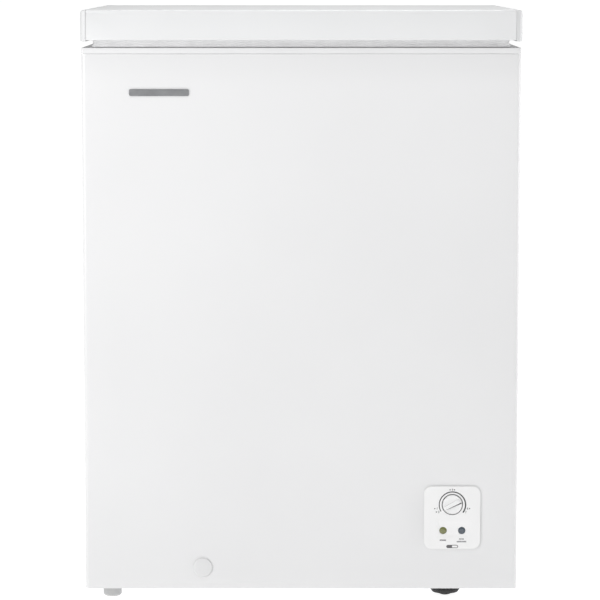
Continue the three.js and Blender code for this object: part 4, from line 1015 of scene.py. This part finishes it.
class FREEZER_OT_levelling_foot(bpy.types.Operator):
    """Levelling foot: domed pad, flange with a fluted edge, and a threaded stud"""

    bl_idname = "freezer.levelling_foot"
    bl_label = "Levelling foot"

    def execute(self, context):
        c = cad("levelling_foot")
        flange, lip, pad, stud, top = (c.x1 - c.x0) / 2, 19.0, 10.5, 4.0, 19.2
        hub, low, high = 12.0, 4.4, 12.0
        outline = [(0, 0), (pad - 5, 0.05), (pad - 1.6, 1.4), (pad, low - 0.1), (lip - 0.6, low),
                   (lip, low + 0.6), (flange, 8.8), (flange, high), (hub, high + 0.4), (hub, top),
                   (stud + 1.5, top), (stud + 0.1, top + 0.1)]
        profile = soft_profile(outline, [0, 3, 2, 0.3, 0.4, 0.5, 0.5, 0.8, 1, 0.6, 0.5, 0], 5)
        def fluted(radius, z, t):
            edge = np.clip((radius - lip + 1.2) / 1.2, 0, 1) * (z > low) * (z < high - 0.3)
            return -0.9 * edge * (0.5 - 0.5 * np.cos(36 * t)) ** 2
        pitch, crest = 1.25, 0.55
        height = np.linspace(top + 0.1, c.z1 - 1.0, 150)
        rod = np.concatenate([np.stack([np.full_like(height, stud), height], 1),
                              [(stud - 0.9, c.z1), (0, c.z1)]])
        def thread(radius, z, t):
            wave = np.abs(((z / pitch - t / (2 * math.pi)) % 1.0) * 2 - 1)
            return -crest * wave * (radius > stud - 0.5)
        foot = placed(lathe(profile, 216, flutes=fluted), (c.cx, c.cy, 0))
        screw_stud = placed(lathe(rod, 36, flutes=thread), (c.cx, c.cy, 0))
        piece("levelling_foot_moulding", foot, look("black_plastic"), "screw_foot", ["levelling_foot"],
              smooth=40)
        piece("levelling_foot_stud", screw_stud, look("spring_steel"), "screw_foot",
              smooth=50)
        return {"FINISHED"}


# ---------------------------------------------------------------- lid
class FREEZER_OT_lid_shell(bpy.types.Operator):
    """Pressed and enamelled lid sheet: top, front and rear in one, with lips below"""

    bl_idname = "freezer.lid_shell"
    bl_label = "Lid shell"

    def execute(self, context):
        sizes = context.scene.freezer_sizes
        c, lip, skin = cad("lid_shell"), 7.0, 1.0
        groove, drop = sizes.lid_groove / MM, 4.4
        face, fold = c.y0 + 0.15, c.z1 - drop
        corners = [(face + lip, c.z0), (face, c.z0), (face, fold - groove),
                   (face + groove, fold - groove * 0.6), (face + groove, fold),
                   (face, fold + groove * 0.6), (face, c.z1), (c.y1, c.z1), (c.y1, c.z0),
                   (c.y1 - lip, c.z0)]
        profile = filleted(corners, [0, 1.2, 0.2, 0.2, 0.2, 0.2, 3.4, 3.5, 1.2, 0], 5, closed=False)
        x = lines([c.x0, c.x1], step=60)
        points = np.stack([np.broadcast_to(x[:, None], (len(x), len(profile))),
                           np.broadcast_to(profile[None, :, 0], (len(x), len(profile))),
                           np.broadcast_to(profile[None, :, 1], (len(x), len(profile)))], -1)
        surface = shell(points, quads(len(x), len(profile))[:, ::-1])
        piece("lid_sheet", surface, look("lid_enamel"), "lid", ["lid_shell"], wall=skin,
              bevel=0.3, segments=2, facing_out=False)
        return {"FINISHED"}


class FREEZER_OT_lid_ends(bpy.types.Operator):
    """Moulded caps that close the two ends of the lid"""

    bl_idname = "freezer.lid_ends"
    bl_label = "Lid end caps"

    def execute(self, context):
        for node, side in (("lid_end_cap_left", -1), ("lid_end_cap_right", 1)):
            c = cad(node)
            depth = c.x1 - c.x0
            bend = depth - 8.0 * np.cos(np.radians(np.linspace(0, 90, 14)))
            u = lines([0, depth - 7.9], bend[bend > depth - 7.9], step=6)
            def draw(radius):
                """How far an edge of this radius has turned in at each station."""
                over = np.clip(u - (depth - radius), 0, radius)
                return radius - np.sqrt(np.clip(radius**2 - over**2, 0, None))
            front, rear, top, low = draw(7.9), draw(6.0), draw(4.0), draw(1.0)
            x = c.x1 - depth + u if side > 0 else c.x0 + depth - u
            rings = np.stack([
                at(rectangle(c.y0 + f, c.y1 - b, c.z0 + l, c.z1 - t, 1.6, 5), px, "x")
                for f, b, l, t, px in zip(front, rear, low, top, x)
            ])
            piece(f"{node}_moulding", loft(rings), look("cap_plastic"), "lid", [node],
                  smooth=40)
        return {"FINISHED"}


class FREEZER_OT_lid_liner(bpy.types.Operator):
    """Moulded inner face of the lid, with a raised plug that fits the mouth and a pressed field"""

    bl_idname = "freezer.lid_liner"
    bl_label = "Lid liner"

    def execute(self, context):
        c, half, front, back, corner = cad("lid_liner"), 240.0, -205.0, 190.0, 20.0
        plate = c.z1 - 1.5
        def ring(grow, z, radius):
            return at(rectangle(-half - grow, half + grow, front - grow, back + grow, radius, 10), z)
        t = np.radians(np.linspace(0, 90, 7))
        rings = [at(rectangle(c.x0, c.x1, c.y0, c.y1, 1, 10), plate)]
        rings += [ring(0, plate, corner)]
        bend, press = 4.5, 1.2
        rings += [ring(bend * math.cos(a) - bend, c.z0 + bend - bend * math.sin(a),
                       corner - bend + bend * math.cos(a)) for a in t]
        rings += [ring(-26, c.z0, 12), ring(-28, c.z0 + press, 12), ring(-60, c.z0 + press, 12),
                  ring(-62, c.z0, 12)]
        liner = piece("lid_inner_face", loft(rings, first=False), look("white_plastic"), "lid", ["lid_liner"],
                      wall=0, bevel=0.8, segments=3, smooth=40)
        add_wall(liner, 0.4, -1)
        return {"FINISHED"}


class FREEZER_OT_gasket(bpy.types.Operator):
    """Magnetic gasket: a bellows hung from the lid, with a rounded magnet pocket that meets the frame"""

    bl_idname = "freezer.gasket"
    bl_label = "Lid gasket"

    def execute(self, context):
        c, width, corner = cad("lid_gasket"), 12.0, 9.0
        low, top = c.z0, c.z1
        side = [(1.2, top), (1.2, top - 2.2), (2.4, top - 3.2), (1.2, top - 4.4), (1.2, top - 5.2),
                (2.6, top - 6.2), (0.9, top - 7.0), (0.0, top - 8.2), (0.5, low + 0.7), (2.2, low)]
        section = side + [(width - d, z) for d, z in side[::-1]]
        radii = [0.2, 0.6, 0.5, 0.6, 0.4, 0.4, 0.5, 0.9, 0.7, 0.6]
        soft = filleted(section, radii + radii[::-1], 3)
        rings = [at(rectangle(c.x0 + d, c.x1 - d, c.y0 + d, c.y1 - d, max(corner - d, 0.5), 10), z)
                 for d, z in soft]
        piece("gasket_loop", loft(rings, wrap=True), look("gasket_rubber"), "lid", ["lid_gasket"],
              smooth=50)
        return {"FINISHED"}


# ---------------------------------------------------------------- hinges
class FREEZER_OT_hinges(bpy.types.Operator):
    """Balanced hinges: brackets, leaves, pins, plungers, springs and screws"""

    bl_idname = "freezer.hinges"
    bl_label = "Hinges"

    def execute(self, context):
        head = screw(3.4, 1.6)
        for side in ("left", "right"):
            names = {part: f"hinge_{side}_{part}" for part in ("base", "pin", "leaf", "plunger", "spring")}
            refined(names["base"], look("zinc_steel"), bevel=0.2)
            refined(names["leaf"], look("zinc_steel"), bevel=0.2)
            refined(names["plunger"], look("spring_steel"), bevel=0.3)
            pin = cad(names["pin"])
            reach, r = (pin.x1 - pin.x0) / 2, 2.0
            outline = [(0, reach), (r + 1.5, reach), (r + 1.5, reach - 2.2), (r, reach - 2.2),
                       (r, 2.2 - reach), (r + 1.5, 2.2 - reach), (r + 1.5, -reach), (0, -reach)]
            profile = soft_profile(outline, [0, 1.1, 0.2, 0.1, 0.1, 0.2, 1.1, 0], 5)
            piece(f"hinge_{side}_rivet_pin", placed(lathe(profile, 40), (pin.cx, pin.cy, pin.cz), "+x"),
                  look("spring_steel"), "cabinet", [names["pin"]])
            self.spring(side, names["spring"])
            base, leaf = cad(names["base"]), cad(names["leaf"])
            plate = base.y0 + 1.6
            low = [placed(head, (base.cx + dx, plate, pz), "+y")
                   for dx in (-14.5, 14.5) for pz in BASE_SCREWS]
            piece(f"hinge_{side}_base_screws", joined(*low), look("spring_steel"), "cabinet")
            plate = leaf.y0 + 1.6
            high = [placed(head, (leaf.cx + dx, plate, pz), "+y")
                    for dx in (-11, 11) for pz in LEAF_SCREWS]
            piece(f"hinge_{side}_leaf_screws", joined(*high), look("spring_steel"), "lid")
        return {"FINISHED"}

    def spring(self, side, node):
        """A helix of round wire whose end turns lie flat: the angle grows evenly while the height eases
        in and out over the end turns."""
        c = cad(node)
        wire, turns = 1.0, 7.5
        r = (c.x1 - c.x0) / 2 - wire
        t = np.linspace(0, 1, 260)
        rise = 0.93 * np.clip((t - 0.1) / 0.8, 0, 1)
        rise = rise + 0.035 * (t + np.clip((t - 0.5) / 0.5, -1, 1) * 0.5 + 0.5)
        height = c.z0 + wire + (c.z1 - c.z0 - 2 * wire) * rise / rise[-1]
        angle = 2 * math.pi * turns * t
        path = np.stack([c.cx + r * np.cos(angle), c.cy + r * np.sin(angle), height], 1)
        coil = piece(f"hinge_{side}_coil_spring", tube(path, wire, 10, reference=(0, 0, 1)),
                     look("spring_steel"), "cabinet", [node], smooth=60)
        coil.parent = None
        del coil["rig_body"]
        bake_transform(coil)


# ---------------------------------------------------------------- basket
class FREEZER_OT_basket(bpy.types.Operator):
    """Hanging basket of coated wire, welded to a rim that rests on the ledges"""

    bl_idname = "freezer.basket"
    bl_label = "Wire basket"

    def execute(self, context):
        c = cad("basket")
        thin, thick, lean = context.scene.freezer_sizes.wire / MM / 2, 1.6, 12.0
        top = c.z1 - thick
        front, back, low = -222 + thin, 207 - thin, c.z0 + thin
        left, right = c.x0 + thin, c.x1 - thin
        wires = []
        for x in np.linspace(left + 16, right - 16, 8):
            run = [(x, front, top), (x, front + lean, low), (x, back - lean, low), (x, back, top)]
            wires.append(tube(filleted(run, 9, 5, closed=False), thin, 8, reference=(1, 0, 0)))
        for y in np.linspace(front + 24, back - 24, 18):
            run = [(left, y, top), (left + lean, y, low), (right - lean, y, low), (right, y, top)]
            wires.append(tube(filleted(run, 9, 5, closed=False), thin, 8, reference=(0, 1, 0)))
        for z in np.linspace(low + 22, top - 28, 5):
            d = lean * (top - z) / (top - low) + 2 * thin
            band = at(rectangle(left + d, right - d, front + d, back - d, 14, 6), z)
            wires.append(tube(band, thin, 8, closed=True, reference=(0, 0, 1)))
        rim = at(rectangle(left + 1.0, right - 1.0, front, back, 12, 8), top)
        wires.append(tube(rim, thick, 12, closed=True, reference=(0, 0, 1)))
        for y, inner in ((c.y0 + thick, front), (c.y1 - thick, back)):
            bar = [(c.x0 + 3, inner, top), (c.x0 + 3, y, top), (c.x1 - 3, y, top), (c.x1 - 3, inner, top)]
            wires.append(tube(filleted(bar, 4.5, 6, closed=False), thick, 12, reference=(0, 0, 1)))
        for x in (left + 1, right - 1):
            way = 1 if x < c.cx else -1
            grip = [(x, -52, top), (x, -48, top + 0.01), (x + way * 9, -40, top), (x + way * 9, 25, top),
                    (x, 33, top), (x, 37, top)]
            wires.append(tube(filleted(grip, 5, 5, closed=False), thick, 12, reference=(0, 0, 1)))
        piece("wire_basket", joined(*wires), look("basket_wire"), "hanging_basket", ["basket"],
              smooth=60)
        return {"FINISHED"}


# ---------------------------------------------------------------- compressor compartment
class FREEZER_OT_compressor(bpy.types.Operator):
    """Compressor shells, motor, base plate, grommets and terminal cover"""

    bl_idname = "freezer.compressor"
    bl_label = "Compressor"

    def execute(self, context):
        low, high = cad("compressor_lower_shell"), cad("compressor_upper_shell")
        r, seam = (high.x1 - high.x0) / 2 - 1, low.z1
        outline = [(0, low.z0), (52, low.z0), (r - 4, low.z0 + 11), (r, low.z0 + 23), (r, seam - 5),
                   (r + 2, seam - 4), (r + 2, seam), (r - 3, seam), (r - 3, low.z0 + 24),
                   (r - 7, low.z0 + 14), (50, low.z0 + 3), (0, low.z0 + 3)]
        profile = soft_profile(outline, [0, 14, 12, 8, 1.5, 0.9, 0.6, 0.6, 6, 8, 12, 0], 5)
        self.turned("compressor_lower_shell", profile, (low.cx, low.cy, 0), "black_enamel", 72)
        bottom, top = high.z0, high.z1
        outline = [(0, top), (30, top - 2), (r - 18, top - 11), (r - 4, top - 28), (r, top - 46),
                   (r, bottom + 3), (r + 1, bottom), (r - 3, bottom), (r - 3, top - 47), (r - 7, top - 30),
                   (r - 20, top - 14), (29, top - 5), (0, top - 3)]
        profile = soft_profile(outline, [0, 22, 18, 16, 14, 1, 0.3, 0.5, 12, 14, 16, 18, 0], 5)
        self.turned("compressor_upper_shell", profile, (high.cx, high.cy, 0), "black_enamel", 72)
        refined("compressor_motor", look("spring_steel"), bevel=0.6)
        refined("compressor_base_plate", look("black_enamel"), bevel=0.4)
        refined("compressor_terminal_cover", look("black_plastic"), bevel=1.2, segments=3)
        for i in range(1, 5):
            c = cad(f"compressor_grommet_{i}")
            h = c.z1 - c.z0
            outline = [(3.5, 0), (11, 0), (11, 4), (9.6, 6.5), (11, 9), (11, h - 7.6), (7.6, h - 7.6),
                       (7.6, h - 4), (10.5, h - 4), (9.5, h), (3.5, h)]
            profile = filleted(outline, [0.4, 0.8, 0.8, 1, 0.8, 0.5, 0.3, 0.3, 0.5, 0.8, 0.4], 3)
            self.turned(f"compressor_grommet_{i}", profile, (c.cx, c.cy, c.z0), "black_rubber", 36,
                        closed=True)
        return {"FINISHED"}

    def turned(self, node, profile, centre, slot, steps, closed=False):
        piece(f"{node}_turned", placed(lathe(profile, steps, closed), centre), look(slot), "cabinet",
              [node])


class FREEZER_OT_circuit(bpy.types.Operator):
    """Refrigerant tubes, filter drier, wiring and the gland that the supply cord enters by"""

    bl_idname = "freezer.circuit"
    bl_label = "Refrigerant circuit and wiring"

    def execute(self, context):
        for node in ("evaporator_coil", "condenser_coil", "suction_line", "discharge_line", "capillary_tube"):
            refined(node, look("copper"), bevel=0, smooth=80, suffix="tube")
        refined("wiring_loom", look("black_plastic"), bevel=0, smooth=80, suffix="sleeve")
        c = cad("filter_drier")
        r, b, t = (c.x1 - c.x0) / 2, 130, 215
        outline = [(0, c.z0), (1.6, c.z0), (1.6, b - 4), (r, b + 6), (r, t - 8), (2.5, t), (2.5, c.z1),
                   (0, c.z1)]
        profile = soft_profile(outline, [0, 0.3, 3, 4, 4, 2, 0.3, 0], 5)
        piece("drier_body", placed(lathe(profile, 40), (c.cx, c.cy, 0)), look("copper"), "cabinet",
              ["filter_drier"])
        c = cad("cord_gland")
        r, bore = (c.x1 - c.x0) / 2, 4.0
        outline = [(bore, 0), (r - 3, 0), (r - 3, -3.1), (r, -3.1), (r, -5.6), (r - 3.4, -7), (bore, -7)]
        profile = [(x, -z) for x, z in filleted(outline, [0.4, 0.6, 0.3, 0.3, 0.9, 0.6, 0.5], 4)]
        piece("gland_bush", placed(lathe(profile, 48, closed=True), (c.cx, c.y0, c.cz), "+y"),
              look("black_rubber"), "cabinet", ["cord_gland"])
        return {"FINISHED"}


# ---------------------------------------------------------------- stage
class FREEZER_OT_stage(bpy.types.Operator):
    """Pale floor, soft lights, world and camera"""

    bl_idname = "freezer.stage"
    bl_label = "Stage"

    def execute(self, context):
        scene = context.scene
        reach = FLOOR_REACH / MM
        corners = [(-reach, -reach, 0), (reach, -reach, 0), (reach, reach, 0), (-reach, reach, 0)]
        floor = piece("studio_floor", shell(corners, np.array([[0, 1, 2, 3]])), self.floor_finish(),
                      "cabinet")
        floor.parent = None
        del floor["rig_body"]
        world = bpy.data.worlds.new("studio")
        scene.world = world
        world.use_nodes = True
        world.node_tree.nodes["Background"].inputs["Color"].default_value = (1, 1, 1, 1)
        world.node_tree.nodes["Background"].inputs["Strength"].default_value = WORLD_STRENGTH
        for name, (place, target, size, power) in LIGHTS.items():
            self.light(name, place, target, size, power)
        data = bpy.data.cameras.new("camera")
        data.sensor_width, data.lens = 36.0, CAMERA_LENS
        data.clip_start, data.clip_end = 0.1, 100
        camera = bpy.data.objects.new("camera", data)
        scene.collection.objects.link(camera)
        camera.location = CAMERA_PLACE
        camera.rotation_euler = (math.radians(90 - CAMERA_DIP), 0, 0)
        scene.camera = camera
        scene.view_settings.view_transform = "Standard"
        return {"FINISHED"}

    def light(self, name, place, target, size, power):
        """A square soft light at a place, facing a target."""
        data = bpy.data.lights.new(name, "AREA")
        data.shape, data.size, data.energy = "SQUARE", size, power
        lamp = bpy.data.objects.new(name, data)
        bpy.context.scene.collection.objects.link(lamp)
        lamp.location = place
        lamp.rotation_euler = (Vector(target) - Vector(place)).to_track_quat("-Z", "Y").to_euler()

    def floor_finish(self):
        """A bright, evenly lit sweep with a faint grain."""
        f = Finish("pale_floor", (0.42, 0.42, 0.42), 0.9)
        f.set(f.shader,
              {"Emission Color": (1, 1, 1, 1), "Emission Strength": FLOOR_GLOW, "Specular IOR Level": 0.0})
        f.shade(f.noise(3, 2), 1.01, 0.99)
        return f.material


# ---------------------------------------------------------------- settings and panel
class FreezerSizes(bpy.types.PropertyGroup):
    """Sizes that a maker may change"""

    corner: FloatProperty(name="Cabinet corner", description="Radius of the cabinet's front corners",
                          default=0.006, min=0.001, unit="LENGTH")
    sheet: FloatProperty(name="Cabinet sheet", description="Thickness of the cabinet's steel sheet",
                         default=0.0008, min=0.0003, unit="LENGTH")
    pressing: FloatProperty(name="Rear pressing", description="Height of the rear sheet's pressed fields",
                            default=0.001, min=0, unit="LENGTH")
    tank_corner: FloatProperty(name="Tank corner", description="Radius of the tank's upright corners",
                               default=0.018, min=0.004, unit="LENGTH")
    dial_drop: FloatProperty(name="Dial drop",
                             description="How far the dial sits below the middle of its well",
                             default=0.0005, min=0, unit="LENGTH")
    lid_groove: FloatProperty(name="Lid groove", description="Depth of the fold line at the lid's top edge",
                              default=0.00025, min=0.0001, unit="LENGTH")
    lamp_recess: FloatProperty(name="Lamp recess", description="Depth of the recess round the lamps",
                               default=0.0005, min=0, unit="LENGTH")
    knob_dish: FloatProperty(name="Knob dish", description="Hollow of the knob's face", default=0.0004, min=0,
                             unit="LENGTH")
    pointer: FloatProperty(name="Pointer angle",
                           description="Angle of the knob's rib above level, in degrees", default=28.0)
    wire: FloatProperty(name="Basket wire", description="Diameter of the basket's thin wires", default=0.003,
                        min=0.001, unit="LENGTH")
    orange_peel: FloatProperty(name="Orange peel", description="Height of the ripple in the enamel",
                               default=0.000004, min=0)


def tint(name, default):
    return FloatVectorProperty(name=name, description=f"Colour of the {name.lower()}", subtype="COLOR",
                               size=3, min=0, max=1, default=default)


class FreezerColours(bpy.types.PropertyGroup):
    """Colours that a maker may change"""

    enamel: tint("Enamel", (0.745, 0.745, 0.75))
    lid: tint("Lid enamel", (0.715, 0.72, 0.725))
    white_plastic: tint("White mouldings", (0.71, 0.71, 0.715))
    caps: tint("Lid end caps", (0.64, 0.645, 0.65))
    panel: tint("Control panel", (0.83, 0.83, 0.83))
    grey_plastic: tint("Grey mouldings", (0.58, 0.58, 0.58))
    gasket: tint("Gasket", (0.87, 0.87, 0.875))
    black: tint("Black mouldings", (0.02, 0.02, 0.021))
    badge: tint("Badge", (0.36, 0.365, 0.375))


OPERATORS = (
    FREEZER_OT_wrapper, FREEZER_OT_rear_panel, FREEZER_OT_sheet_parts, FREEZER_OT_insulation, FREEZER_OT_tank,
    FREEZER_OT_top_frame, FREEZER_OT_badge, FREEZER_OT_control_panel, FREEZER_OT_knob, FREEZER_OT_lamps,
    FREEZER_OT_drain, FREEZER_OT_fixed_feet, FREEZER_OT_levelling_foot, FREEZER_OT_lid_shell,
    FREEZER_OT_lid_ends, FREEZER_OT_lid_liner, FREEZER_OT_gasket, FREEZER_OT_hinges, FREEZER_OT_basket,
    FREEZER_OT_compressor, FREEZER_OT_circuit, FREEZER_OT_stage,
)


class FREEZER_PT_pieces(bpy.types.Panel):
    """The freezer's pieces and settings"""

    bl_idname = "FREEZER_PT_pieces"
    bl_label = "Chest Freezer"
    bl_space_type = "VIEW_3D"
    bl_region_type = "UI"
    bl_category = "Freezer"

    def draw(self, context):
        for group in (context.scene.freezer_sizes, context.scene.freezer_colours):
            box = self.layout.box()
            for name in group.bl_rna.properties.keys():
                if name not in ("rna_type", "name"):
                    box.prop(group, name)
        for operator in OPERATORS:
            self.layout.operator(operator.bl_idname)


CLASSES = (FreezerSizes, FreezerColours, *OPERATORS, FREEZER_PT_pieces)


def register():
    for each in CLASSES:
        bpy.utils.register_class(each)
    bpy.types.Scene.freezer_sizes = PointerProperty(type=FreezerSizes)
    bpy.types.Scene.freezer_colours = PointerProperty(type=FreezerColours)


def unregister():
    del bpy.types.Scene.freezer_colours
    del bpy.types.Scene.freezer_sizes
    for each in reversed(CLASSES):
        bpy.utils.unregister_class(each)


def main():
    register()
    for operator in OPERATORS:
        group, name = operator.bl_idname.split(".")
        getattr(getattr(bpy.ops, group), name)()


if __name__ == "__main__":
    main()
